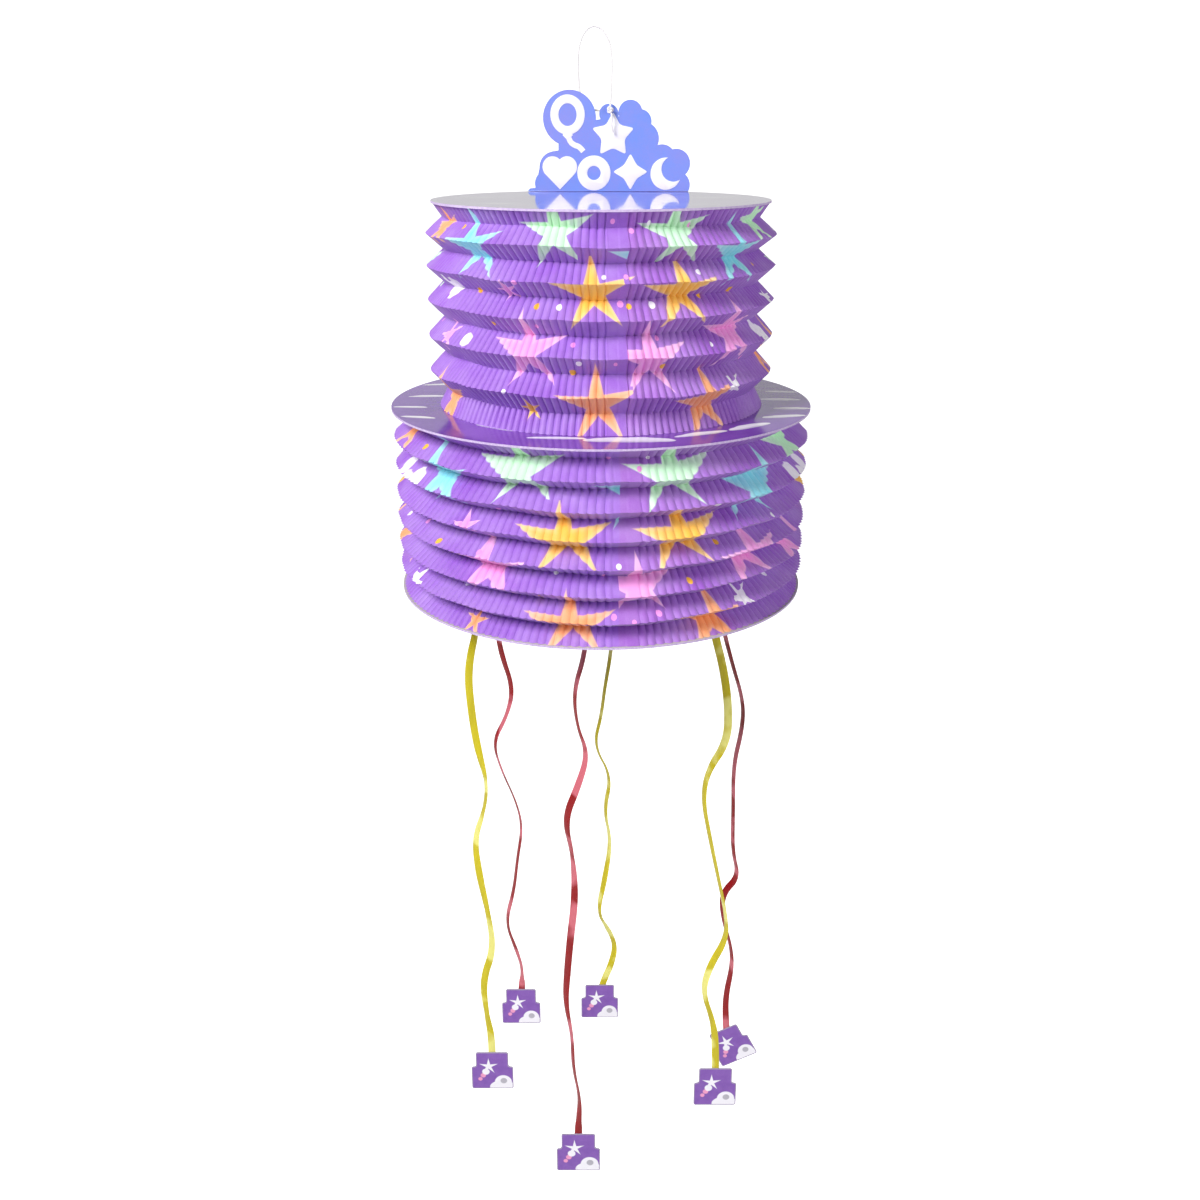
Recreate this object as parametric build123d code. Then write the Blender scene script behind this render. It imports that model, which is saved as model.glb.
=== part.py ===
from build123d import *
from math import cos, sin, tan, radians
import os

# Two-tier pull-ribbon pinata made of two paper bellows between three round boards.
# Millimetres, +Z up.  The origin is the middle of the cord at the top of the hanging loop.
# "Lantern" coordinates are measured from the vertical axis of the boards.

# ---- driving dimensions -------------------------------------------------------------------
board_thickness = 1.2          # laminated grey board of the three discs and both doors
card_thickness = 0.6           # header, its foot and the ribbon tags
paper_wall = 0.9               # room that the fluted paper takes, measured level

top_disc_radius = 97.0
tier_disc_radius = 125.0
bottom_disc_radius = 123.5
tier_hole_radius = 84.0        # passage between the tiers

upper_tier_height = 115.0      # clear height between the boards
upper_pleats = 6
upper_pleat_growth = 0.95      # each pleat hangs this much longer than the one above
upper_ridge_radius = 100.2
upper_valley_depth = 10.0
upper_end_radius = 95.8        # where the paper is glued to a board

lower_tier_height = 109.5
lower_pleats = 7
lower_pleat_growth = -0.35
lower_ridge_radius = 124.0
lower_valley_depth = 11.6
lower_end_radius = 122.3

loop_rise = 95.5               # top disc up to the top of the loop
cord_diameter = 1.3
header_setback = 79.0          # header plane behind the lantern's axis
loop_offset = -4.0             # loop top, sideways from the lantern's axis
header_gap = 0.4               # crease room between the header and the board

foot_width = 74.0              # strip that glues the header to the board
foot_depth = 8.5

flap_radius = 34.0             # fill opening in the top disc
flap_centre = -41.0            # in front of the axis
flap_fold = -20.0              # fold line of the fill flap, clear of the folded header's loop
trap_half_width = 30.0         # trap door in the bottom disc
trap_fold = -18.0              # fold line of the trap door
door_clearance = 0.3           # kerf round both doors

ring_radius = 82.0             # circle of the six ribbon holes
ring_turn = -6.0               # degrees, that circle's turn
ribbon_width = 5.0
ribbon_hole_radius = 2.8
trap_web = 5.0                 # ribbon hole's centre to the trap door's free edge
trap_ribbon_gap = 6.5          # free swing room between the door's hole and its ribbon
knot_radius = 4.5
knot_height = 6.0

tag_width = 29.3
tag_base_height = 18.8
tag_top_width = 22.8
tag_top_height = 12.2
tag_corner = 1.5
tag_lap = 8.0                  # length of ribbon glued behind a tag

# ---- levels and places that follow ----------------------------------------------------------
top_face = -loop_rise
top_under = top_face - board_thickness
tier_face = top_under - upper_tier_height
tier_under = tier_face - board_thickness
bottom_face = tier_under - lower_tier_height
bottom_under = bottom_face - board_thickness
lantern = Pos(-loop_offset, -header_setback, 0)

# ---- header outline: round lobes (x, height, radius) joined by a core ------------------------
header_lobes = [
    (-19.4, 43.4, 16.4),
    (4.9, 45.8, 6.0),
    (18.2, 46.7, 7.4),
    (24.1, 41.5, 7.2),
    (26.1, 31.5, 9.9),
    (38.1, 19.8, 8.4),
    (46.9, 16.8, 8.8),
    (47.4, 4.0, 8.4),
    (-29.0, 14.6, 9.4),
    (-33.8, 5.0, 7.6),
]
header_core = [
    (-46.4, 0.0),
    (-44.6, 2.0),
    (-41.2, 2.4),
    (-38.2, 15.0),
    (-30.5, 24.0),
    (-26.4, 24.6),
    (-26.4, 34.0),
    (-6.0, 42.0),
    (8.0, 44.0),
    (20.0, 46.0),
    (30.0, 30.0),
    (44.0, 20.0),
    (52.0, 6.0),
    (55.2, 0.0),
]
cord_hole = (5.6, 48.2)
cord_hole_radius = 1.4
cord_knot_radius = 2.1
cord_knot_stand_off = 2.8      # knot's centre in front of the header plane
cord_shank_radius = 1.2
cord_shank_back = 2.9

# Hanging cord: sideways from the lantern's axis, behind the header plane, height over the disc.
hang_cord_points = [
    (5.7, -2.6, 50.0),
    (6.4, -1.0, 64.0),
    (6.7, 0.2, 78.0),
    (5.0, 0.4, 88.5),
    (-0.6, 0.2, 95.5),
    (-7.4, 0.0, 95.5),
    (-12.8, 0.2, 88.0),
    (-14.3, 0.8, 76.0),
    (-13.6, 1.8, 63.0),
    (-12.6, 2.4, 54.5),
    (-7.0, 2.6, 48.5),
    (0.0, 2.2, 47.6),
    (5.2, 1.9, 48.2),
]

# Ribbons: points measured from the ribbon's own hole, at the underside of the bottom disc.
# Each is (place on the ring in degrees, tag's tilt, points).
ribbons = {
    1: (210, 0.0, [
        (-0.3, -0.2, -17.3), (-8.1, -1.6, -49.0), (-6.9, 1.9, -80.6), (-3.7, -0.6, -104.1),
        (1.9, -3.1, -128.5), (-1.1, 0.4, -150.0), (-8.3, 2.9, -172.4), (-5.9, -0.1, -195.9),
        (-0.7, -2.6, -224.4), (2.5, -0.6, -255.0), (-6.2, 1.9, -282.6), (-4.2, -0.6, -308.1),
        (-0.8, -1.8, -329.5), (-1.3, -0.4, -348.9),
    ]),
    2: (150, 0.0, [
        (-0.5, -0.2, -18.3), (-5.5, -1.7, -47.7), (-2.3, 0.3, -74.1), (5.3, 1.8, -100.4),
        (0.3, -0.2, -120.7), (-10.1, -2.2, -140.0), (-4.3, 0.3, -164.3), (4.9, 2.3, -188.7),
        (9.5, 0.3, -209.0), (5.3, -1.7, -234.3), (2.1, 0.3, -262.8), (-5.2, 1.8, -291.2),
        (3.0, -0.2, -314.5), (7.8, -1.4, -334.8), (5.6, -0.6, -357.1),
    ]),
    3: (270, 0.0, [
        (-0.8, -0.2, -19.2), (-7.8, -1.9, -42.4), (-6.0, 1.6, -66.6), (0.6, -0.4, -83.8),
        (-5.0, -3.4, -103.0), (-14.0, -0.9, -128.2), (-9.0, 1.6, -154.5), (-7.4, -1.4, -181.7),
        (-10.8, -3.4, -212.0), (-13.0, -0.4, -239.3), (-14.6, 1.1, -263.5), (-10.2, -1.4, -287.8),
        (-9.9, -2.9, -312.0), (-5.4, -0.4, -339.2), (-6.5, 0.6, -358.4), (-6.6, 0.0, -376.6),
    ]),
    4: (90, 0.0, [
        (-0.4, 0.2, -20.0), (0.8, 2.4, -50.1), (-1.4, -1.6, -85.1), (-6.2, 0.4, -115.2),
        (-8.4, 2.9, -137.2), (-14.2, -0.6, -160.3), (-0.8, -2.6, -184.3), (-6.6, 0.4, -214.3),
        (-1.0, 2.4, -241.4), (-5.6, -0.6, -273.4), (-11.6, -2.1, -302.5), (-2.6, 0.4, -319.5),
        (2.9, 1.9, -335.5), (-0.6, -0.4, -351.6), (-5.9, -0.2, -365.6), (-9.4, 0.2, -378.6),
    ]),
    5: (330, 0.0, [
        (0.7, 0.2, -15.7), (8.2, 1.7, -42.3), (12.3, -0.8, -68.9), (11.9, -2.8, -91.5),
        (0.3, -0.3, -113.1), (-1.9, 2.2, -134.8), (3.1, 0.7, -160.3), (8.7, -1.8, -186.9),
        (14.7, -3.3, -214.4), (16.7, -0.8, -236.1), (6.2, 2.2, -260.7), (1.8, 1.7, -280.3),
        (10.0, -0.8, -304.0), (12.2, -2.3, -325.6), (12.6, -1.6, -349.2),
    ]),
    6: (30, 27.0, [
        (1.3, 0.2, -16.9), (5.7, 2.1, -44.8), (13.1, -0.9, -72.6), (22.1, -2.4, -101.5),
        (22.5, 0.6, -123.4), (17.5, 2.6, -152.2), (18.3, -0.4, -186.0), (18.7, -1.9, -218.9),
        (24.5, 0.6, -241.7), (13.1, 2.6, -256.7), (13.7, 0.1, -276.6), (20.7, -2.4, -299.4),
        (22.2, 0.1, -319.3), (18.6, 1.6, -345.2), (19.1, 0.2, -365.1), (20.8, -0.2, -382.0),
    ]),
}
trap_ribbon = 3                # the ribbon that pulls the trap door open


def write(shape, node):
    shape.label = node
    export_step(shape, f"parts/{node}.step")


def disc(radius, face):
    """A board whose upper face is at the given height."""
    return Pos(0, 0, face - board_thickness / 2) * Cylinder(radius, board_thickness)


def board_slab(sketch, face):
    """A flat outline made into board whose upper face is at the given height."""
    return Pos(0, 0, face - board_thickness) * extrude(sketch, board_thickness)


def hole_place(number):
    """Where a ribbon's hole is, from the lantern's axis."""
    turn = radians(ribbons[number][0] + ring_turn)
    return Vector(ring_radius * cos(turn), ring_radius * sin(turn), 0)


def bend_radii(points):
    """Largest tangent arc that each corner's two runs allow."""
    radii = []
    for before, here, after in zip(points, points[1:], points[2:]):
        arrive = Vector(*here) - Vector(*before)
        leave = Vector(*after) - Vector(*here)
        half_turn = radians(arrive.get_angle(leave)) / 2
        radii.append(0.45 * min(arrive.length, leave.length) / tan(half_turn))
    return radii


def tube(points, diameter, name):
    """A round tube along straight runs joined by tangent arcs."""
    radii = bend_radii(points)
    path = FilletPolyline(*points, radius=radii)
    start = Plane(origin=path @ 0, z_dir=path % 0)
    solid = sweep(start * Circle(diameter / 2), path=path)
    section = 3.141592653589793 * diameter ** 2 / 4
    print(name, "length", round(path.length, 1), "mm, volume over section x length",
          round(solid.volume / (section * path.length), 4))
    print("   bend radii", [round(radius, 1) for radius in radii])
    return solid


def bellows(top, height, pleats, growth, ridge, depth, end):
    """Zigzag paper wall; the pleat lengths grow evenly from the top down."""
    first = (height - growth * pleats * (pleats - 1) / 2) / pleats
    outline = []
    level = top
    for pleat in range(pleats):
        length = first + growth * pleat
        outline.append((end if pleat == 0 else ridge, level))
        outline.append((ridge - depth, level - length / 2))
        level -= length
    outline.append((end, top - height))
    inside = [(radius - paper_wall, level) for radius, level in reversed(outline)]
    wall = make_face(Polyline(*outline, *inside, close=True))
    return revolve(Plane.XZ * wall, Axis.Z)


def fill_outline(shrink):
    """The fill opening: a disc cut off straight at the fold."""
    whole = Pos(0, flap_centre) * Circle(flap_radius - shrink)
    behind = Pos(0, flap_fold - shrink + flap_radius) * Rectangle(3 * flap_radius, 2 * flap_radius)
    return whole - behind


def trap_outline(shrink):
    """The trap opening: straight sides from the fold, a half-round free end."""
    round_centre = -(ring_radius + trap_web - trap_half_width)
    width = 2 * (trap_half_width - shrink)
    depth = trap_fold - shrink - round_centre
    sides = Pos(0, round_centre + depth / 2) * Rectangle(width, depth)
    return sides + Pos(0, round_centre) * Circle(width / 2)


def make_top_disc():
    opening = board_slab(fill_outline(0), top_face)
    return disc(top_disc_radius, top_face) - opening


def make_fill_flap():
    return board_slab(fill_outline(door_clearance), top_face)


def make_tier_disc():
    return disc(tier_disc_radius, tier_face) - disc(tier_hole_radius, tier_face)


def ribbon_hole(number):
    place = hole_place(number)
    return Pos(place.X, place.Y, bottom_face) * Cylinder(ribbon_hole_radius, 4 * board_thickness)


def make_bottom_disc():
    body = disc(bottom_disc_radius, bottom_face)
    body -= Rot(0, 0, ring_turn) * board_slab(trap_outline(0), bottom_face)
    for number in ribbons:
        if number != trap_ribbon:
            body -= ribbon_hole(number)
    return body


def make_trap_door():
    door = Rot(0, 0, ring_turn) * board_slab(trap_outline(door_clearance), bottom_face)
    return door - ribbon_hole(trap_ribbon)


def make_header():
    outline = make_face(Polyline(*header_core, close=True))
    for across, height, radius in header_lobes:
        outline += Pos(across, height) * Circle(radius)
    outline &= Pos(0, 100 + header_gap) * Rectangle(400, 200)
    outline -= Pos(*cord_hole) * Circle(cord_hole_radius)
    card = extrude(outline, card_thickness / 2, both=True)
    return Pos(0, header_setback, top_face) * Rot(90, 0, 0) * card


def make_header_foot():
    middle = header_setback + card_thickness / 2 + door_clearance + foot_depth / 2
    strip = Box(foot_width, foot_depth, card_thickness)
    strip = fillet(strip.edges().filter_by(Axis.Z).group_by(Axis.Y)[-1], 2.5)
    return Pos(0, middle, top_face + card_thickness / 2) * strip


def header_point(across, behind, height):
    return (across, header_setback + behind, top_face + height)


def make_hang_knot():
    across, height = cord_hole
    bead = Pos(*header_point(across, -cord_knot_stand_off, height)) * Sphere(cord_knot_radius)
    length = cord_knot_stand_off + cord_shank_back
    middle = (cord_shank_back - cord_knot_stand_off) / 2
    shank = Pos(*header_point(across, middle, height)) * Rot(90, 0, 0) * Cylinder(cord_shank_radius, length)
    return bead + shank


def make_ribbon_knot(number):
    place = hole_place(number)
    knot = Cylinder(knot_radius, knot_height)
    knot = fillet(knot.edges(), 0.4 * knot_height)
    return Pos(place.X, place.Y, bottom_face + knot_height / 2) * knot


def ribbon_points(number):
    """A ribbon's route from its hole down to its tag."""
    place = hole_place(number)
    start = board_thickness
    if number == trap_ribbon:
        start = board_thickness / 2 - trap_ribbon_gap
    steps = [(0.0, 0.0, start)] + ribbons[number][2]
    return [(place.X + x, place.Y + y, bottom_under + z) for x, y, z in steps]


def make_tag(number):
    """A stepped card hanging from the ribbon, which is glued behind its upper step."""
    tilt = ribbons[number][1]
    steps = Pos(0, -tag_top_height / 2) * Rectangle(tag_top_width, tag_top_height)
    base_middle = -tag_top_height - tag_base_height / 2
    steps += Pos(0, base_middle) * Rectangle(tag_width, tag_base_height)
    steps = fillet(steps.vertices(), tag_corner)
    card = Rot(90, 0, 0) * extrude(steps, card_thickness / 2, both=True)
    end = ribbon_points(number)[-1]
    lift = tag_lap * cos(radians(tilt))
    shift = -tag_lap * sin(radians(tilt))
    top = (end[0] + shift, end[1], end[2] + lift)
    return Pos(*top) * Rot(0, -tilt, 0) * card


os.makedirs("parts", exist_ok=True)

write(lantern * make_top_disc(), "top_disc")
write(lantern * make_fill_flap(), "fill_flap")
write(lantern * make_tier_disc(), "tier_disc")
write(lantern * make_bottom_disc(), "bottom_disc")
write(lantern * make_trap_door(), "trap_door")

upper = bellows(top_under, upper_tier_height, upper_pleats, upper_pleat_growth,
                upper_ridge_radius, upper_valley_depth, upper_end_radius)
write(lantern * upper, "upper_bellows")
lower = bellows(tier_under, lower_tier_height, lower_pleats, lower_pleat_growth,
                lower_ridge_radius, lower_valley_depth, lower_end_radius)
write(lantern * lower, "lower_bellows")

write(lantern * make_header(), "header_card")
write(lantern * make_header_foot(), "header_foot")
write(lantern * make_hang_knot(), "hang_knot")
cord_route = [header_point(*point) for point in hang_cord_points]
write(lantern * tube(cord_route, cord_diameter, "hang_cord"), "hang_cord")

for number in ribbons:
    write(lantern * tube(ribbon_points(number), ribbon_width, f"ribbon_{number}"), f"ribbon_{number}")
    write(lantern * make_ribbon_knot(number), f"ribbon_knot_{number}")
    write(lantern * make_tag(number), f"tag_{number}")
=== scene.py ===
import math
from collections import namedtuple

import bmesh
import bpy
import numpy as np
from mathutils import Matrix, Vector


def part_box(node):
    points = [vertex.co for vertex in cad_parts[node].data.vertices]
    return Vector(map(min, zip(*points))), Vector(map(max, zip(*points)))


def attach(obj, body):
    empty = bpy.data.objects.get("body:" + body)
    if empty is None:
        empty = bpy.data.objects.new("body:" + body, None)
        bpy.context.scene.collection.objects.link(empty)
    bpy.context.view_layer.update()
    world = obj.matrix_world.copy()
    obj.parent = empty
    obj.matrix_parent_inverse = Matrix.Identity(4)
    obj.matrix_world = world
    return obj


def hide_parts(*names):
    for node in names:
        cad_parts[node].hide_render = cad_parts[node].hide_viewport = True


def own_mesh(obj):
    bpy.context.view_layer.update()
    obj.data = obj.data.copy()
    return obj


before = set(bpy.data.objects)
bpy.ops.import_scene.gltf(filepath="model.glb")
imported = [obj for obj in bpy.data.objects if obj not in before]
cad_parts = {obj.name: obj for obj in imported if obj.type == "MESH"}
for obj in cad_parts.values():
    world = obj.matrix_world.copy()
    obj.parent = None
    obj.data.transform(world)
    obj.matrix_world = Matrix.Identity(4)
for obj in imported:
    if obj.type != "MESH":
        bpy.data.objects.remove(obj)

bl_info = {
    "name": "Two-Tier Paper Pinata",
    "version": (1, 0, 0),
    "blender": (4, 5, 0),
    "location": "3D View > Sidebar > Pinata",
    "description": "Models a two-tier fluted paper pinata with pull ribbons around its packed frame",
    "category": "Add Mesh",
}

MM = 0.001
FULL_TURN = 2 * math.pi

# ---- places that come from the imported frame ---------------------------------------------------
tier_low, tier_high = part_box("tier_disc")
AXIS = Vector(((tier_low.x + tier_high.x) / 2, (tier_low.y + tier_high.y) / 2, 0.0))
TOP_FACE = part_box("top_disc")[1].z
TOP_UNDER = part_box("top_disc")[0].z
TIER_FACE = tier_high.z
TIER_UNDER = tier_low.z
BOTTOM_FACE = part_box("bottom_disc")[1].z
BOTTOM_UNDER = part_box("bottom_disc")[0].z
BOARD = BOTTOM_FACE - BOTTOM_UNDER
HEADER_PLANE = (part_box("header_card")[0].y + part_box("header_card")[1].y) / 2
HEADER_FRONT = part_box("header_card")[0].y
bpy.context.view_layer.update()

# ---- sizes that the model shares with its frame -----------------------------------------------
PAPER_WALL = 0.9 * MM
RING_RADIUS = 82.0 * MM
RING_TURN = -6.0
TRAP_RIBBON = 3
TRAP_RIBBON_GAP = 6.5 * MM
CARD = 0.6 * MM
TAG_LAP = 8.0 * MM
TAG_STAND = 0.5 * MM
CORD_HOLE = (5.6 * MM, 48.2 * MM)

# Hanging cord, millimetres: sideways from the axis, behind the header, height over the top disc.
HANG_CORD_POINTS = [
    (5.7, -2.6, 50.0),
    (6.4, -1.0, 64.0),
    (6.7, 0.2, 78.0),
    (5.0, 0.4, 88.5),
    (-0.6, 0.2, 95.5),
    (-7.4, 0.0, 95.5),
    (-12.8, 0.2, 88.0),
    (-14.3, 0.8, 76.0),
    (-13.6, 1.8, 63.0),
    (-12.6, 2.4, 54.5),
    (-7.0, 2.6, 48.5),
    (0.0, 2.2, 47.6),
    (5.2, 1.9, 48.2),
]

# A ribbon: its hole's place on the ring and its tag's tilt in degrees, its length in millimetres, its
# colour, its points in millimetres from its own hole at the underside of the bottom disc, and the turn
# of the band in degrees at each point, the start included.
Ribbon = namedtuple("Ribbon", "ring_angle tilt length colour points turns")
RIBBONS = {
    1: Ribbon(210, 0.0, 355.2, "yellow", [
        (-0.3, -0.2, -17.3), (-8.1, -1.6, -49.0), (-6.9, 1.9, -80.6), (-3.7, -0.6, -104.1),
        (1.9, -3.1, -128.5), (-1.1, 0.4, -150.0), (-8.3, 2.9, -172.4), (-5.9, -0.1, -195.9),
        (-0.7, -2.6, -224.4), (2.5, -0.6, -255.0), (-6.2, 1.9, -282.6), (-4.2, -0.6, -308.1),
        (-0.8, 0.1, -329.5), (-1.3, 0.1, -348.9),
    ], (45, 45, 10, 10, 15, 60, 68, 40, 15, 40, 30, 15, 40, 5, 0)),
    2: Ribbon(150, 0.0, 367.5, "red", [
        (-0.5, -0.2, -18.3), (-5.5, -1.7, -47.7), (-2.3, 0.3, -74.1), (5.3, 1.8, -100.4),
        (0.3, -0.2, -120.7), (-10.1, -2.2, -140.0), (-4.3, 0.3, -164.3), (4.9, 2.3, -188.7),
        (9.5, 0.3, -209.0), (5.3, -1.7, -234.3), (2.1, 0.3, -262.8), (-5.2, 1.8, -291.2),
        (3.0, -0.2, -314.5), (7.8, -0.1, -334.8), (5.6, -0.1, -357.1),
    ], (60, 60, 45, 34, 45, 64, 62, 60, 64, 66, 66, 64, 60, 45, 60, 0)),
    3: Ribbon(270, 0.0, 376.2, "red", [
        (-0.8, -0.2, -19.2), (-7.8, -1.9, -42.4), (-6.0, 1.6, -66.6), (0.6, -0.4, -83.8),
        (-5.0, -3.4, -103.0), (-14.0, -0.9, -128.2), (-9.0, 1.6, -154.5), (-7.4, -1.4, -181.7),
        (-10.8, -3.4, -212.0), (-13.0, -0.4, -239.3), (-14.6, 1.1, -263.5), (-10.2, -1.4, -287.8),
        (-9.9, -2.9, -312.0), (-5.4, -0.4, -339.2), (-6.5, 0.5, -358.4), (-6.6, 0.5, -376.6),
    ], (60, 58, 64, 64, 55, 45, 40, 58, 28, 26, 30, 45, 62, 60, 60, 40, 0)),
    4: Ribbon(90, 0.0, 388.9, "yellow", [
        (-0.4, 0.2, -20.0), (0.8, 2.4, -50.1), (-1.4, -1.6, -85.1), (-6.2, 0.4, -115.2),
        (-8.4, 2.9, -137.2), (-14.2, -0.6, -160.3), (-0.8, -2.6, -184.3), (-6.6, 0.4, -214.3),
        (-1.0, 2.4, -241.4), (-5.6, -0.6, -273.4), (-11.6, -2.1, -302.5), (-2.6, 0.4, -319.5),
        (2.9, 1.9, -335.5), (-0.6, -0.4, -351.6), (-5.9, 0.7, -365.6), (-9.4, 0.7, -378.6),
    ], (50, 50, 60, 60, 66, 66, 66, 62, 60, 60, 40, 60, 30, 40, 25, 20, 0)),
    5: Ribbon(330, 0.0, 359.7, "yellow", [
        (0.7, 0.2, -15.7), (8.2, 1.7, -42.3), (12.3, -0.8, -68.9), (11.9, -2.8, -91.5),
        (0.3, -0.3, -113.1), (-1.9, 2.2, -134.8), (3.1, 0.7, -160.3), (8.7, -1.8, -186.9),
        (14.7, -3.3, -214.4), (16.7, -0.8, -236.1), (6.2, 2.2, -260.7), (1.8, 1.7, -280.3),
        (10.0, -0.8, -304.0), (12.2, -1.1, -325.6), (12.6, -1.1, -349.2),
    ], (20, 10, 10, 0, 25, 60, 60, 60, 64, 66, 60, 40, 50, 40, 5, 0)),
    6: Ribbon(30, 27.0, 390.9, "red", [
        (1.3, 0.2, -16.9), (5.7, 2.1, -44.8), (13.1, -0.9, -72.6), (22.1, -2.4, -101.5),
        (22.5, 0.6, -123.4), (17.5, 2.6, -152.2), (18.3, -0.4, -186.0), (18.7, -1.9, -218.9),
        (24.5, 0.6, -241.7), (13.1, 2.6, -256.7), (13.7, 0.1, -276.6), (20.7, -2.4, -299.4),
        (22.2, 0.1, -319.3), (18.6, 1.6, -345.2), (19.1, 0.3, -365.1), (20.8, 0.3, -382.0),
    ], (55, 52, 55, 60, 62, 64, 64, 64, 62, 58, 40, 58, 62, 58, 40, 20, 0)),
}

# ---- artwork of the paper tiers ---------------------------------------------------------------
# Big and small stars: (degrees from the front, share of the way down, radius in millimetres,
# turn in degrees, ink, side of the glue seam that the star is printed on, 0 for both).
UPPER_STARS = [
    (-45, 0.168, 22.5, 8, "cyan", 0),
    (49, 0.20, 22.5, 0, "cyan", 0),
    (15.6, 0.205, 24.0, 4, "cyan", -1),
    (-14.6, 0.085, 23.0, 6, "mint", 0),
    (24.3, 0.09, 23.0, 4, "mint", 0),
    (63, 0.06, 17.0, 10, "mint", 0),
    (-2.5, 0.355, 24.0, 5, "gold", 0),
    (26.0, 0.365, 24.0, 4, "gold", 0),
    (-31, 0.36, 7.5, 12, "pink", 0),
    (-24, 0.635, 24.0, 4, "pink", 0),
    (15.5, 0.665, 23.5, 3, "pink", 1),
    (48, 0.585, 22.5, 2, "pink", 0),
    (-1.2, 0.87, 24.0, 4, "salmon", 0),
    (37, 0.885, 23.0, 8, "salmon", 0),
    (-67, 0.93, 22.0, 0, "salmon", 0),
    (-24, 0.905, 7.5, 10, "gold", 0),
    (48, 0.835, 9.0, 25, "white", 0),
    (-66, 0.09, 15.0, 10, "salmon", 0),
    (-90, 0.30, 22.0, 5, "mint", 0),
    (-62, 0.62, 10.0, 20, "pink", 0),
    (74, 0.46, 9.0, -10, "white", 0),
    (80, 0.72, 22.0, 5, "salmon", 0),
]
LOWER_STARS = [
    (-48, 0.21, 28.0, 6, "cyan", 0),
    (46, 0.25, 28.0, 0, "cyan", 0),
    (10.2, 0.225, 28.0, 4, "cyan", -1),
    (-21.5, 0.115, 29.0, 5, "mint", 0),
    (18.5, 0.13, 29.0, 4, "mint", 1),
    (61, 0.085, 22.0, 8, "mint", 0),
    (-9.5, 0.44, 29.0, 5, "gold", 0),
    (21, 0.435, 28.5, 5, "gold", 1),
    (-31.5, 0.635, 29.0, 2, "pink", 0),
    (9.6, 0.69, 26.0, 3, "pink", 1),
    (44, 0.61, 27.0, 6, "pink", 0),
    (68, 0.65, 24.0, 6, "pink", 0),
    (-8, 0.885, 27.5, 4, "salmon", 0),
    (31, 0.92, 27.5, 6, "salmon", 0),
    (-70, 0.06, 18.0, 0, "salmon", 0),
    (-37, 0.965, 9.0, 0, "salmon", 0),
    (41.5, 0.84, 10.0, 22, "white", 0),
    (-63, 0.86, 10.0, -15, "white", 0),
    (-37.5, 0.43, 10.0, 10, "pink", 0),
    (-90, 0.40, 27.0, 5, "gold", 0),
    (-84, 0.70, 27.0, 5, "salmon", 0),
]
# Confetti dots: (degrees from the front, share of the way down, radius in millimetres, ink).
UPPER_DOTS = [
    (-46, 0.39, 1.6, "gold"), (-21, 0.43, 1.6, "gold"), (-13.5, 0.43, 1.7, "white"),
    (6.4, 0.41, 1.8, "pink"), (9, 0.42, 1.5, "gold"), (16.5, 0.42, 1.8, "white"),
    (35, 0.395, 1.6, "gold"), (49, 0.38, 1.7, "gold"), (0.8, 0.28, 1.3, "white"),
    (7.6, 0.28, 1.3, "pink"), (32, 0.27, 1.4, "white"), (-7, 0.68, 1.5, "white"),
    (-9.5, 0.73, 1.8, "gold"), (-9, 0.60, 1.3, "pink"), (4.6, 0.68, 1.2, "pink"),
    (20, 0.70, 1.8, "gold"), (18.5, 0.58, 1.3, "pink"), (15.5, 0.045, 1.4, "white"),
    (9.5, 0.075, 1.4, "pink"), (3.6, 0.035, 1.3, "pink"), (-27, 0.315, 1.4, "pink"),
    (-20.5, 0.515, 1.3, "pink"), (-32, 0.83, 1.3, "white"), (-52, 0.08, 1.4, "gold"),
    (38, 0.62, 1.3, "white"), (60, 0.27, 1.5, "gold"), (-55, 0.72, 1.6, "white"),
    (-37, 0.52, 1.3, "gold"), (57, 0.72, 1.5, "pink"), (30, 0.055, 1.3, "pink"),
    (-80, 0.55, 1.6, "gold"), (84, 0.12, 1.5, "white"), (100, 0.58, 1.6, "pink"),
    (-50, 0.62, 3.6, "white"), (-58, 0.37, 4.6, "white"), (-61, 0.40, 5.2, "white"),
    (-64, 0.36, 4.0, "white"), (66, 0.60, 4.6, "white"), (69, 0.63, 5.4, "white"),
]
LOWER_DOTS = [
    (-12.5, 0.645, 1.6, "white"), (-16.5, 0.77, 1.9, "gold"), (0.8, 0.64, 1.3, "pink"),
    (4.6, 0.565, 1.5, "white"), (-33.5, 0.56, 1.4, "pink"), (3.4, 0.84, 1.7, "pink"),
    (-42, 0.79, 1.5, "white"), (8.5, 0.86, 1.3, "pink"), (15.2, 0.84, 1.6, "pink"),
    (9.6, 0.10, 1.5, "pink"), (2.0, 0.055, 1.3, "pink"), (-29, 0.34, 1.4, "pink"),
    (12.5, 0.06, 1.3, "white"), (24, 0.69, 1.7, "gold"), (-49, 0.56, 1.5, "gold"),
    (31, 0.30, 1.4, "white"), (33, 0.52, 1.5, "gold"), (52, 0.42, 1.4, "white"),
    (-56, 0.10, 1.5, "gold"), (-60, 0.52, 1.4, "pink"), (56, 0.80, 1.5, "white"),
    (-60, 0.27, 6.4, "white"), (-66, 0.31, 7.6, "white"), (-71, 0.25, 6.2, "white"),
    (66, 0.27, 6.4, "white"), (72, 0.31, 7.6, "white"), (78, 0.26, 6.2, "white"),
    (-78, 0.88, 1.7, "gold"), (84, 0.55, 1.7, "pink"), (-74, 0.54, 1.5, "white"),
]
# The printed rectangle repeats on the far side of the lantern.
ARTWORK_REPEAT = 180.0
# Distances down the paper count for this much, so motifs are printed taller and look even when folded.
MOTIF_STRETCH = 0.76
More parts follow.
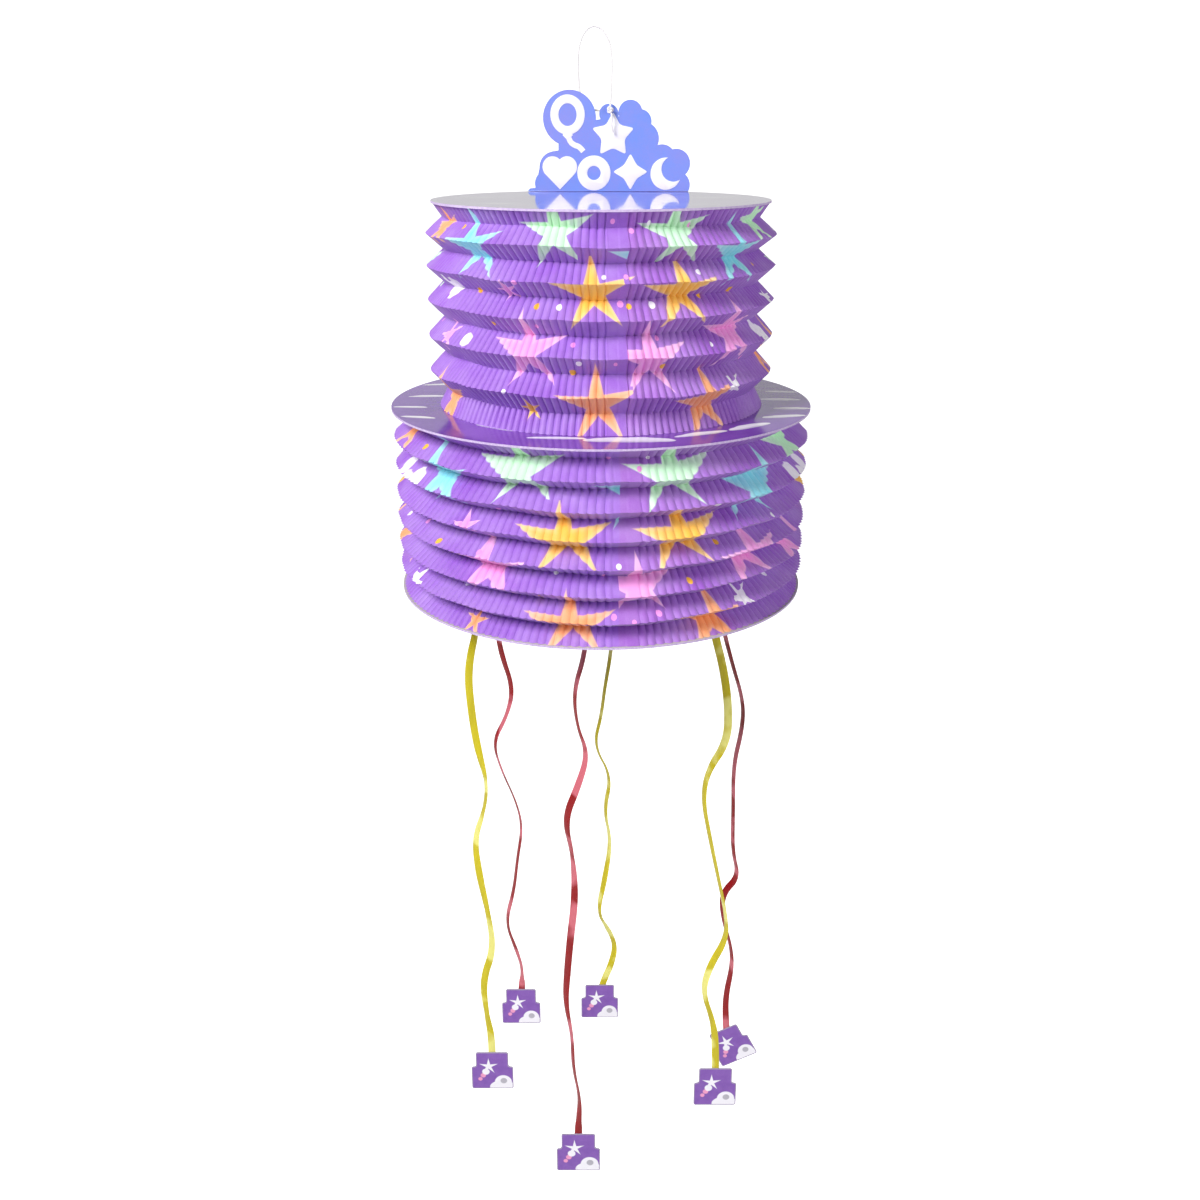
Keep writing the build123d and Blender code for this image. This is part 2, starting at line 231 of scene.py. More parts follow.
# Distance given to a motif that isn't printed on this side of the glue seam.
OUT_OF_REACH = 99.0
INKS = ("mint", "cyan", "gold", "pink", "salmon", "white")


def paint(code):
    """A linear colour from its hexadecimal display code."""
    shares = [int(code[place:place + 2], 16) / 255 for place in (1, 3, 5)]
    return tuple(
        share / 12.92 if share <= 0.04045 else ((share + 0.055) / 1.055) ** 2.4 for share in shares
    )


def colour_property(name, description, code):
    return bpy.props.FloatVectorProperty(
        name=name,
        description=description,
        default=paint(code),
        subtype="COLOR",
        size=3,
        min=0.0,
        max=1.0,
    )


def length_property(name, description, millimetres, low=0.0):
    return bpy.props.FloatProperty(
        name=name,
        description=description,
        default=millimetres * MM,
        subtype="DISTANCE",
        unit="LENGTH",
        min=low * MM,
        precision=5,
    )


def angle_property(name, description, degrees):
    return bpy.props.FloatProperty(
        name=name,
        description=description,
        default=math.radians(degrees),
        subtype="ANGLE",
        unit="ROTATION",
    )


def share_property(name, description, share):
    return bpy.props.FloatProperty(
        name=name, description=description, default=share, subtype="FACTOR", min=0.0, max=1.0
    )


def count_property(name, description, count, low=3):
    return bpy.props.IntProperty(name=name, description=description, default=count, min=low)


class UpperPaperSettings(bpy.types.PropertyGroup):
    """Sizes of the upper paper tier."""

    pleats: count_property("Pleats", "Folds of the bellows from board to board", 6)
    growth: length_property("Pleat Growth", "How much longer each pleat hangs than the last", 0.95)
    ridge_radius: length_property("Ridge Radius", "Outside radius of the paper at a ridge", 100.2)
    valley_depth: length_property("Valley Depth", "From a ridge in to a valley, measured level", 10.0)
    underside: share_property("Underside", "Share of a pleat's height that faces downwards", 0.47)
    end_radius: length_property("End Radius", "Where the paper is glued to a board", 95.8)
    flutes: count_property("Flutes", "Crimps round the whole tier", 146)
    seam: angle_property("Glue Seam", "Place of the overlap, to the right of the front", 5.3)
    print_edge: angle_property("Print Edge", "Where the overlapping print starts", 8.2)


class LowerPaperSettings(bpy.types.PropertyGroup):
    """Sizes of the lower paper tier."""

    pleats: count_property("Pleats", "Folds of the bellows from board to board", 7)
    growth: length_property("Pleat Growth", "How much longer each pleat hangs than the last", -0.35, -5.0)
    ridge_radius: length_property("Ridge Radius", "Outside radius of the paper at a ridge", 124.0)
    valley_depth: length_property("Valley Depth", "From a ridge in to a valley, measured level", 11.6)
    underside: share_property("Underside", "Share of a pleat's height that faces downwards", 0.4)
    end_radius: length_property("End Radius", "Where the paper is glued to a board", 122.3)
    flutes: count_property("Flutes", "Crimps round the whole tier", 160)
    seam: angle_property("Glue Seam", "Place of the overlap, to the right of the front", 6.5)
    print_edge: angle_property("Print Edge", "Where the overlapping print starts", 4.7)


class PaperSettings(bpy.types.PropertyGroup):
    """What both paper tiers share."""

    thickness: length_property("Thickness", "Thickness of the crimped paper", 0.25)
    flute_depth: length_property("Flute Depth", "From the middle of the paper to a crimp's crest", 0.75)
    waviness: length_property("Waviness", "How far a fold strays up and down", 1.6)
    overlap_step: length_property("Overlap Step", "How far the overlapping edge stands out", 0.45)
    purple: colour_property("Purple", "Ground colour of the printed paper", "#955BC9")
    warm_purple: colour_property("Warm Purple", "Ground colour beyond the glue seam", "#9A58BE")
    mint: colour_property("Mint", "Ink of the mint stars", "#C4F0CB")
    cyan: colour_property("Cyan", "Ink of the cyan stars", "#8CDCEB")
    gold: colour_property("Gold", "Ink of the gold stars", "#F7BC3E")
    pink: colour_property("Pink", "Ink of the pink stars", "#F09AE0")
    salmon: colour_property("Salmon", "Ink of the salmon stars", "#F7A268")
    white: colour_property("White", "Ink of the white dots and clouds", "#F6F2FA")


class BoardSettings(bpy.types.PropertyGroup):
    """Finish of the laminated boards."""

    print_colour: colour_property("Print", "Ground colour of the printed side", "#7C4AAE")
    shade_colour: colour_property("Print Shade", "Deeper patches of the printed side", "#6A3A9C")
    cloud_colour: colour_property("Clouds", "Ink of the printed clouds", "#F3F2F4")
    cloud_shade: colour_property("Cloud Shade", "Underside of the printed clouds", "#B9B2C6")
    edge_colour: colour_property("Cut Edge", "Bare board where it is cut", "#D9C9E6")
    back_colour: colour_property("Grey Back", "Unprinted side of the board", "#B7B1AC")
    gloss: share_property("Film Roughness", "Roughness of the gloss film", 0.12)


class HeaderSettings(bpy.types.PropertyGroup):
    """Colours and sizes of the header card."""

    blue: colour_property("Blue", "Ground colour of the header", "#7896EA")
    violet: colour_property("Violet", "Second tone of the header", "#8C93E4")
    shape_colour: colour_property("Shapes", "Colour of the raised shapes", "#FBFBFF")
    shape_rise: length_property("Shape Rise", "How far the raised shapes stand out", 0.18)
    stroke: length_property("Stroke", "Width of the balloon's outline", 5.0)


class RibbonSettings(bpy.types.PropertyGroup):
    """Sizes and colours of the ribbons and the cord."""

    width: length_property("Width", "Width of a pull ribbon", 5.0)
    thickness: length_property("Thickness", "Thickness of a pull ribbon", 0.16)
    cup: length_property("Cup", "How far a ribbon's edges curl to one side", 0.45)
    # The pale ribbon colours below are painted highlights, mixed in patches along the ribbons.
    yellow: colour_property("Yellow", "Colour of the yellow ribbons", "#CEBE1C")
    yellow_painted_highlight: colour_property("Yellow Painted Highlight", "Pale stretches of the yellow ribbons", "#F0EC8C")
    red: colour_property("Red", "Colour of the red ribbons", "#960E14")
    red_painted_highlight: colour_property("Red Painted Highlight", "Pale stretches of the red ribbons", "#D87482")
    cord_diameter: length_property("Cord Diameter", "Diameter of the hanging cord", 1.3)
    cord_lay: length_property("Lay", "Length in which a strand of the cord turns once", 4.2)
    cord_colour: colour_property("Cord", "Colour of the hanging cord", "#F4F3F0")


class TagSettings(bpy.types.PropertyGroup):
    """Sizes and colours of the ribbon tags."""

    width: length_property("Width", "Width of the lower step", 29.3)
    base_height: length_property("Base Height", "Height of the lower step", 18.8)
    top_width: length_property("Top Width", "Width of the upper step", 22.8)
    top_height: length_property("Top Height", "Height of the upper step", 12.2)
    corner: length_property("Corner", "Radius of the corners", 1.5)
    purple: colour_property("Purple", "Ground colour of a tag", "#7A4CAA")
    white: colour_property("White", "Ink of the star and the hill", "#F3F0F8")
    grey: colour_property("Grey", "Ink of the hill's shade", "#B4B0BC")
    pink: colour_property("Pink", "Ink of the star's tail", "#EE9BC4")


class StudioSettings(bpy.types.PropertyGroup):
    """Camera, lights and floor."""

    distance: length_property("Distance", "Level distance from the axis to the camera", 777.0)
    height: length_property("Height", "Camera height over the tier board", 158.0)
    pitch: angle_property("Pitch", "How far the camera looks down", 20.23)
    lens: bpy.props.FloatProperty(
        name="Lens", description="Focal length in millimetres", default=39.0, min=1.0
    )
    key_power: bpy.props.FloatProperty(
        name="Key Power", description="Power of the key light in watts", default=52.0, min=0.0
    )
    fill_power: bpy.props.FloatProperty(
        name="Fill Power", description="Power of the fill light in watts", default=17.0, min=0.0
    )
    back_power: bpy.props.FloatProperty(
        name="Back Power", description="Power of the light behind, in watts", default=5.5, min=0.0
    )
    sky: bpy.props.FloatProperty(
        name="Sky", description="Strength of the even white surround", default=0.21, min=0.0
    )
    floor_drop: length_property("Floor Drop", "Floor below the top of the loop", 960.0)
    floor_colour: colour_property("Floor", "Colour of the floor", "#CFCFCF")


# ---- modelling helpers ------------------------------------------------------------------------
def clear_selection():
    bpy.ops.object.select_all(action="DESELECT")


def begin(add_primitive, **settings):
    """Adds one primitive with nothing else selected."""
    clear_selection()
    add_primitive(**settings)
    return bpy.context.object


def take(piece):
    """Selects only this piece."""
    clear_selection()
    piece.select_set(True)
    bpy.context.view_layer.objects.active = piece


def edit(piece):
    take(piece)
    bpy.ops.object.mode_set(mode="EDIT")


def leave_edit():
    bpy.ops.object.mode_set(mode="OBJECT")


def pick(piece, kind, wanted):
    """In edit mode, selects only the vertices, edges or faces that pass the test."""
    modes = {"verts": "VERT", "edges": "EDGE", "faces": "FACE"}
    bpy.ops.mesh.select_mode(type=modes[kind])
    bpy.ops.mesh.select_all(action="DESELECT")
    shell = bmesh.from_edit_mesh(piece.data)
    found = 0
    for item in getattr(shell, kind):
        if wanted(item):
            item.select_set(True)
            found += 1
    shell.select_flush_mode()
    bmesh.update_edit_mesh(piece.data)
    if not found:
        raise RuntimeError(f"{piece.name}: nothing to shape was found")


def finish_modifier(piece, kind, **settings):
    """Adds a modifier, sets it up and applies it."""
    take(piece)
    modifier = piece.modifiers.new(kind.title(), kind)
    for name, value in settings.items():
        setattr(modifier, name, value)
    bpy.ops.object.modifier_apply(modifier=modifier.name)


def apply_place(piece):
    take(piece)
    bpy.ops.object.transform_apply(location=True, rotation=True, scale=True)


def make_mesh(piece):
    """Turns a curve into a mesh."""
    take(piece)
    bpy.ops.object.convert(target="MESH")
    return bpy.context.object


def name_piece(piece, name):
    piece.name = name
    piece.data.name = name
    return piece


def smooth(piece, degrees):
    take(piece)
    bpy.ops.object.shade_smooth_by_angle(angle=math.radians(degrees))


def tidy_shell(piece):
    """Merges doubles and turns every face outwards."""
    edit(piece)
    bpy.ops.mesh.select_all(action="SELECT")
    bpy.ops.mesh.remove_doubles(threshold=0.005 * MM)
    bpy.ops.mesh.normals_make_consistent(inside=False)
    leave_edit()


def copy_of(piece, name):
    """A copy of the piece with its own mesh."""
    twin = piece.copy()
    twin.data = piece.data.copy()
    bpy.context.scene.collection.objects.link(twin)
    return name_piece(twin, name)


def dress(piece, material):
    piece.data.materials.clear()
    piece.data.materials.append(material)
    return piece


def nurbs_curve(name, points):
    """A curve of one open smooth spline with these control points, in metres."""
    curve = bpy.data.curves.new(name, "CURVE")
    curve.dimensions = "3D"
    spline = curve.splines.new("NURBS")
    spline.points.add(len(points) - 1)
    for number, point in enumerate(points):
        spline.points[number].co = (*point, 1.0)
    spline.order_u = 3
    spline.use_endpoint_u = True
    spline.resolution_u = 12
    piece = bpy.data.objects.new(name, curve)
    bpy.context.scene.collection.objects.link(piece)
    return piece


def line_points(curve_piece):
    """Points along a curve that has no thickness yet."""
    bpy.context.view_layer.update()
    depsgraph = bpy.context.evaluated_depsgraph_get()
    line = bpy.data.meshes.new_from_object(curve_piece.evaluated_get(depsgraph))
    points = [vertex.co.copy() for vertex in line.vertices]
    bpy.data.meshes.remove(line)
    return points


# ---- shader helpers ---------------------------------------------------------------------------
def set_out(tree, node):
    """Gives the newest node its place in the editor, five to a column."""
    column, row = divmod(len(tree.nodes), 5)
    node.location = (220 * column, -190 * row)


def put(tree, kind, *values, output=0, **settings):
    """Adds a node and feeds its inputs in order; a socket is linked and None is left alone."""
    node = tree.nodes.new(kind)
    set_out(tree, node)
    for name, value in settings.items():
        setattr(node, name, value)
    for socket, value in zip(node.inputs, values):
        if isinstance(value, bpy.types.NodeSocket):
            tree.links.new(value, socket)
        elif value is not None:
            socket.default_value = value
    return node.outputs[output]


def apart(tree, vector):
    """The X, Y and Z of a vector."""
    split = tree.nodes.new("ShaderNodeSeparateXYZ")
    tree.links.new(vector, split.inputs[0])
    return split.outputs


def figure(tree, operation, *values, clamp=False):
    return put(tree, "ShaderNodeMath", *values, operation=operation, use_clamp=clamp)


def blend_colours(tree, share, first, second, way="MIX"):
    """Mixes two colours, each a socket or three numbers."""
    node = tree.nodes.new("ShaderNodeMix")
    set_out(tree, node)
    node.data_type = "RGBA"
    node.blend_type = way
    for socket, value in ((node.inputs[0], share), (node.inputs[6], first), (node.inputs[7], second)):
        if isinstance(value, bpy.types.NodeSocket):
            tree.links.new(value, socket)
        elif isinstance(value, (int, float)):
            socket.default_value = value
        else:
            socket.default_value = (*value[:3], 1.0)
    return node.outputs[2]


def ramp(tree, value, low, high, start=0.0, end=1.0):
    """The share of the way from low to high, held between start and end."""
    return put(tree, "ShaderNodeMapRange", value, low, high, start, end, clamp=True)


def new_group(name, inputs, outputs):
    """A node group with named sockets; each is (name, kind) or (name, kind, default)."""
    tree = bpy.data.node_groups.new(name, "ShaderNodeTree")
    for label, kind, *default in inputs:
        socket = tree.interface.new_socket(label, in_out="INPUT", socket_type=kind)
        if default:
            socket.default_value = default[0]
    for label, kind in outputs:
        tree.interface.new_socket(label, in_out="OUTPUT", socket_type=kind)
    way_in = tree.nodes.new("NodeGroupInput")
    way_out = tree.nodes.new("NodeGroupOutput")
    way_out.location = (1600, 0)
    return tree, way_in.outputs, way_out.inputs


def place_group(tree, group, values):
    """Places a node group and gives back its outputs by name."""
    node = tree.nodes.new("ShaderNodeGroup")
    set_out(tree, node)
    node.node_tree = group
    for name, value in values.items():
        if isinstance(value, bpy.types.NodeSocket):
            tree.links.new(value, node.inputs[name])
        else:
            node.inputs[name].default_value = value
    return node.outputs


def new_material(name, **plain):
    """A material and its main shader; plain values are set on the shader's own sockets."""
    material = bpy.data.materials.new(name)
    material.use_nodes = True
    shader = material.node_tree.nodes["Principled BSDF"]
    shader.location = (1500, 200)
    material.node_tree.nodes["Material Output"].location = (1800, 200)
    for label, value in plain.items():
        shader.inputs[label.replace("_", " ")].default_value = value
    return material, material.node_tree, shader


def roughen(tree, shader, height, strength, depth):
    """Feeds a height, through a Bump node, into the shader's normal."""
    bump = tree.nodes.new("ShaderNodeBump")
    bump.inputs["Strength"].default_value = strength
    bump.inputs["Distance"].default_value = depth
    tree.links.new(height, bump.inputs["Height"])
    tree.links.new(bump.outputs[0], shader.inputs["Normal"])


FLOAT = "NodeSocketFloat"
VECTOR = "NodeSocketVector"


def star_group():
    """Five-pointed star of radius 1 round the origin: its mask and its pale rim."""
    name = "printed_star"
    if name in bpy.data.node_groups:
        return bpy.data.node_groups[name]
    waist = 0.295
    tenth = FULL_TURN / 10
    side = Vector((waist * math.sin(tenth), 1 - waist * math.cos(tenth))).normalized()
    tree, given, result = new_group(
        name,
        [("Vector", VECTOR), ("Softness", FLOAT, 0.02), ("Rim Width", FLOAT, 0.10)],
        [("Mask", FLOAT), ("Rim", FLOAT), ("Tips", FLOAT)],
    )
    parts = apart(tree, given["Vector"])
    across, up = parts[0], parts[1]
    turn = figure(tree, "ARCTAN2", across, up)
    folded = figure(tree, "ABSOLUTE", figure(tree, "WRAP", turn, tenth, -tenth))
    reach = put(tree, "ShaderNodeVectorMath", given["Vector"], operation="LENGTH", output=1)
    along = figure(tree, "MULTIPLY", reach, figure(tree, "COSINE", folded))
    aside = figure(tree, "MULTIPLY", reach, figure(tree, "SINE", folded))
    beyond = figure(tree, "MULTIPLY", figure(tree, "SUBTRACT", along, 1.0), side.x)
    gap = figure(tree, "MULTIPLY_ADD", aside, side.y, beyond)
    soft_edge = figure(tree, "MULTIPLY", given["Softness"], 0.5)
    mask = put(
        tree, "ShaderNodeMapRange", gap, soft_edge, figure(tree, "MULTIPLY", soft_edge, -1.0), 0.0, 1.0,
        clamp=True
    )
    inside = figure(tree, "MULTIPLY", gap, -1.0)
    rim = put(tree, "ShaderNodeMapRange", inside, 0.0, given["Rim Width"], 1.0, 0.0, clamp=True)
    tree.links.new(mask, result["Mask"])
    tree.links.new(rim, result["Rim"])
    tree.links.new(ramp(tree, reach, 0.35, 1.0), result["Tips"])
    return tree


def grain_group():
    """Paper and board grain: a mottled shade and a height of fine fibres."""
    name = "paper_grain"
    if name in bpy.data.node_groups:
        return bpy.data.node_groups[name]
    tree, given, result = new_group(
        name,
        [("Vector", VECTOR), ("Mottle Scale", FLOAT, 60.0), ("Fibre Scale", FLOAT, 900.0)],
        [("Shade", FLOAT), ("Height", FLOAT)],
    )
    mottle = put(
        tree, "ShaderNodeTexNoise", given["Vector"], None, given["Mottle Scale"], 4.0, 0.6
    )
    fibre = put(
        tree, "ShaderNodeTexNoise", given["Vector"], None, given["Fibre Scale"], 5.0, 0.7
    )
    shade = figure(tree, "MULTIPLY_ADD", fibre, 0.3, figure(tree, "MULTIPLY", mottle, 0.7))
    tree.links.new(shade, result["Shade"])
    tree.links.new(fibre, result["Height"])
    return tree


def cloud_group():
    """A long flat-bottomed cloud: its mask and its shaded underside, on the X and Y of a board."""
    name = "printed_cloud"
    if name in bpy.data.node_groups:
        return bpy.data.node_groups[name]
    tree, given, result = new_group(
        name,
        [
            ("Vector", VECTOR),
            ("Centre", VECTOR),
            ("Turn", FLOAT),
            ("Half Length", FLOAT, 0.02),
            ("Half Depth", FLOAT, 0.003),
        ],
        [("Mask", FLOAT), ("Underside", FLOAT)],
    )
    moved = put(tree, "ShaderNodeVectorMath", given["Vector"], given["Centre"], operation="SUBTRACT")
    turned = tree.nodes.new("ShaderNodeVectorRotate")
    turned.rotation_type = "Z_AXIS"
    tree.links.new(moved, turned.inputs["Vector"])
    tree.links.new(given["Turn"], turned.inputs["Angle"])
    parts = apart(tree, turned.outputs[0])
    along = figure(tree, "DIVIDE", parts[0], given["Half Length"])
    across = figure(tree, "DIVIDE", parts[1], given["Half Depth"])
    lumps = put(tree, "ShaderNodeTexNoise", given["Vector"], None, 95.0, 1.0, 0.4)
    ends = figure(tree, "POWER", figure(tree, "ABSOLUTE", along), 2.2)
    lower = figure(tree, "MULTIPLY", figure(tree, "MINIMUM", across, 0.0), -1.6)
    upper = figure(tree, "MAXIMUM", across, 0.0)
    depth = figure(tree, "POWER", figure(tree, "ADD", lower, upper), 2.0)
    reach = figure(tree, "ADD", ends, depth)
    ragged = figure(tree, "ADD", reach, figure(tree, "MULTIPLY", figure(tree, "SUBTRACT", lumps, 0.5), 1.1))
    tree.links.new(ramp(tree, ragged, 1.05, 0.95), result["Mask"])
    tree.links.new(ramp(tree, across, 0.1, -0.6), result["Underside"])
    return tree


def paper_material(settings, seam_reach, name, seed):
    """Crimped paper printed with stars, which follow the paper through its folds."""
    material, tree, shader = new_material(
        name, Roughness=0.5, Specular_IOR_Level=0.35, Sheen_Weight=0.3, Sheen_Roughness=0.4
    )
    flat = put(tree, "ShaderNodeUVMap", uv_map="paper")
    star_place = put(tree, "ShaderNodeUVMap", uv_map="star")
    dot_place = put(tree, "ShaderNodeUVMap", uv_map="dot")
    star_ink = put(tree, "ShaderNodeAttribute", attribute_name="star_ink")
    dot_ink = put(tree, "ShaderNodeAttribute", attribute_name="dot_ink")
    moved = put(tree, "ShaderNodeVectorMath", flat, (seed, 0.0, 0.0), operation="ADD")
    grain = place_group(tree, grain_group(), {"Vector": moved, "Mottle Scale": 35.0, "Fibre Scale": 1400.0})
    parts = apart(tree, flat)
    past_seam = ramp(tree, parts[0], seam_reach - 0.4 * MM, seam_reach + 0.4 * MM)
    fading = ramp(tree, parts[0], seam_reach + 150 * MM, seam_reach, 0.2, 0.75)
    warmth = figure(tree, "MULTIPLY", past_seam, fading)
    ground = blend_colours(tree, warmth, settings.purple, settings.warm_purple)
    mottled = blend_colours(tree, ramp(tree, grain["Shade"], 0.35, 0.7, 0.0, 0.22), ground, (0.9, 0.8, 1.0))
    star = place_group(tree, star_group(), {"Vector": star_place, "Softness": 0.025, "Rim Width": 0.09})
    rim = figure(tree, "MULTIPLY_ADD", star["Rim"], 0.16, figure(tree, "MULTIPLY", star["Tips"], 0.2))
    pale_star = blend_colours(tree, rim, star_ink, (1.0, 0.97, 0.94))
    fibrous = ramp(tree, grain["Shade"], 0.35, 0.7, 0.0, 0.12)
    shaded = blend_colours(tree, fibrous, pale_star, (1.0, 0.95, 0.9))
    starred = blend_colours(tree, star["Mask"], mottled, shaded)
    dot_reach = put(tree, "ShaderNodeVectorMath", dot_place, operation="LENGTH", output=1)
    dotted = blend_colours(tree, ramp(tree, dot_reach, 1.06, 0.94), starred, dot_ink)
    tree.links.new(dotted, shader.inputs["Base Color"])
    rough = ramp(tree, grain["Shade"], 0.3, 0.7, 0.42, 0.62)
    tree.links.new(rough, shader.inputs["Roughness"])
    roughen(tree, shader, grain["Height"], strength=0.25, depth=0.05 * MM)
    return material


def board_material(settings, name, clouds, film, printed_side=1.0):
    """Glossy printed board with pale cut edges and a grey unprinted side."""
    material, tree, shader = new_material(
        name, Roughness=settings.gloss, Specular_IOR_Level=0.5 * film, Coat_Roughness=0.05
    )
    place = put(tree, "ShaderNodeTexCoord", output=3)
    facing = put(tree, "ShaderNodeTexCoord", output=1)
    parts = apart(tree, facing)
    upward = figure(tree, "MULTIPLY", parts[2], printed_side)
    printed = ramp(tree, upward, 0.5, 0.7)
    cut = ramp(tree, figure(tree, "ABSOLUTE", upward), 0.7, 0.5)
    grain = place_group(tree, grain_group(), {"Vector": place, "Mottle Scale": 22.0, "Fibre Scale": 700.0})
    ground = blend_colours(
        tree, ramp(tree, grain["Shade"], 0.42, 0.6), settings.print_colour, settings.shade_colour
    )
    for centre, turn, length, depth in clouds:
        there = (AXIS.x + centre[0] * MM, AXIS.y + centre[1] * MM, 0.0)
        flat = put(tree, "ShaderNodeVectorMath", place, (1.0, 1.0, 0.0), operation="MULTIPLY")
        cloud = place_group(tree, cloud_group(), {
            "Vector": flat,
            "Centre": there,
            "Turn": math.radians(turn),
            "Half Length": length * MM / 2,
            "Half Depth": depth * MM / 2,
        })
        lit = blend_colours(tree, cloud["Underside"], settings.cloud_colour, settings.cloud_shade)
        ground = blend_colours(tree, cloud["Mask"], ground, lit)
    bare = blend_colours(tree, ramp(tree, grain["Shade"], 0.3, 0.7), settings.back_colour, (0.55, 0.52, 0.49))
    faced = blend_colours(tree, printed, bare, ground)
    fibres = blend_colours(tree, ramp(tree, grain["Height"], 0.3, 0.7, 0.0, 0.5), settings.edge_colour,
                           settings.print_colour)
    tree.links.new(blend_colours(tree, cut, faced, fibres), shader.inputs["Base Color"])
    tree.links.new(figure(tree, "MULTIPLY", printed, film), shader.inputs["Coat Weight"])
    rough = blend_colours(tree, printed, (0.75, 0.75, 0.75), (settings.gloss,) * 3)
    tree.links.new(rough, shader.inputs["Roughness"])
    rolled = put(tree, "ShaderNodeVectorMath", place, (0.45, 1.0, 1.0), operation="MULTIPLY")
    waves = put(tree, "ShaderNodeTexNoise", rolled, None, 75.0, 1.0, 0.5)
    film_height = figure(tree, "MULTIPLY_ADD", grain["Shade"], 0.15, figure(tree, "MULTIPLY", waves, film))
    roughen(tree, shader, film_height, strength=0.5, depth=0.45 * MM)
    return material


def header_material(settings):
    """Blue printed card, white where it is cut and plain behind."""
    material, tree, shader = new_material(
        "header_print", Roughness=0.28, Specular_IOR_Level=0.5, Coat_Weight=0.3, Coat_Roughness=0.12
    )
    place = put(tree, "ShaderNodeTexCoord", output=3)
    facing = put(tree, "ShaderNodeTexCoord", output=1)
    parts = apart(tree, facing)
    front = ramp(tree, parts[1], -0.5, -0.7)
    grain = place_group(tree, grain_group(), {"Vector": place, "Mottle Scale": 26.0, "Fibre Scale": 900.0})
    printed = blend_colours(tree, ramp(tree, grain["Shade"], 0.4, 0.62), settings.blue, settings.violet)
    mottle = ramp(tree, grain["Shade"], 0.35, 0.65)
    plain = blend_colours(tree, mottle, (0.78, 0.76, 0.80), (0.70, 0.68, 0.72))
    tree.links.new(blend_colours(tree, front, plain, printed), shader.inputs["Base Color"])
    roughen(tree, shader, grain["Height"], strength=0.15, depth=0.06 * MM)
    return material


def enamel_material(settings):
    """Thick white ink of the header's raised shapes."""
    material, tree, shader = new_material(
        "raised_ink", Specular_IOR_Level=0.5, Coat_Weight=0.4, Coat_Roughness=0.08
    )
    place = put(tree, "ShaderNodeTexCoord", output=3)
    grain = place_group(tree, grain_group(), {"Vector": place, "Mottle Scale": 60.0, "Fibre Scale": 1200.0})
    shade = blend_colours(tree, ramp(tree, grain["Shade"], 0.35, 0.7, 0.0, 0.5), settings.shape_colour,
                          (0.86, 0.88, 1.0))
    tree.links.new(shade, shader.inputs["Base Color"])
    tree.links.new(ramp(tree, grain["Shade"], 0.3, 0.7, 0.22, 0.4), shader.inputs["Roughness"])
    roughen(tree, shader, grain["Height"], strength=0.1, depth=0.05 * MM)
    return material


def ribbon_material(colour, pale, name):
    """Shiny plastic ribbon with fine lengthwise ribs and painted highlights: pale patches in its colour stand
    in for light caught by its twists.
    """
    material, tree, shader = new_material(
        name, Specular_IOR_Level=0.35, Coat_Weight=0.12, Coat_Roughness=0.15
    )
    place = put(tree, "ShaderNodeTexCoord", output=3)
    stretched = put(tree, "ShaderNodeVectorMath", place, (1.0, 1.0, 0.12), operation="MULTIPLY")
    streak = put(tree, "ShaderNodeTexNoise", stretched, None, 420.0, 2.0, 0.5)
    highlight_patch = put(tree, "ShaderNodeTexNoise", place, None, 38.0, 2.0, 0.5)
    deep = tuple(0.55 * share for share in colour)
    toned = blend_colours(tree, ramp(tree, streak, 0.35, 0.7, 0.0, 0.35), colour, deep)
    # Painted highlight: noise patches blend the pale colour into the ribbon in place of the glint of its
    # glossy twists.
    lit = blend_colours(tree, ramp(tree, highlight_patch, 0.51, 0.58, 0.0, 0.8), toned, pale)
    tree.links.new(lit, shader.inputs["Base Color"])
    tree.links.new(ramp(tree, streak, 0.3, 0.7, 0.22, 0.36), shader.inputs["Roughness"])
    roughen(tree, shader, streak, strength=0.3, depth=0.04 * MM)
    return material


def cord_material(colour):
    """White spun cord with fine fibres."""
    material, tree, shader = new_material(
        "spun_cord", Roughness=0.7, Specular_IOR_Level=0.2, Sheen_Weight=0.3, Sheen_Roughness=0.5
    )
    place = put(tree, "ShaderNodeTexCoord", output=3)
    grain = place_group(tree, grain_group(), {"Vector": place, "Mottle Scale": 300.0, "Fibre Scale": 4000.0})
    shade = blend_colours(tree, ramp(tree, grain["Shade"], 0.3, 0.7, 0.0, 0.35), colour, (0.70, 0.68, 0.70))
    tree.links.new(shade, shader.inputs["Base Color"])
    roughen(tree, shader, grain["Height"], strength=0.5, depth=0.05 * MM)
    return material


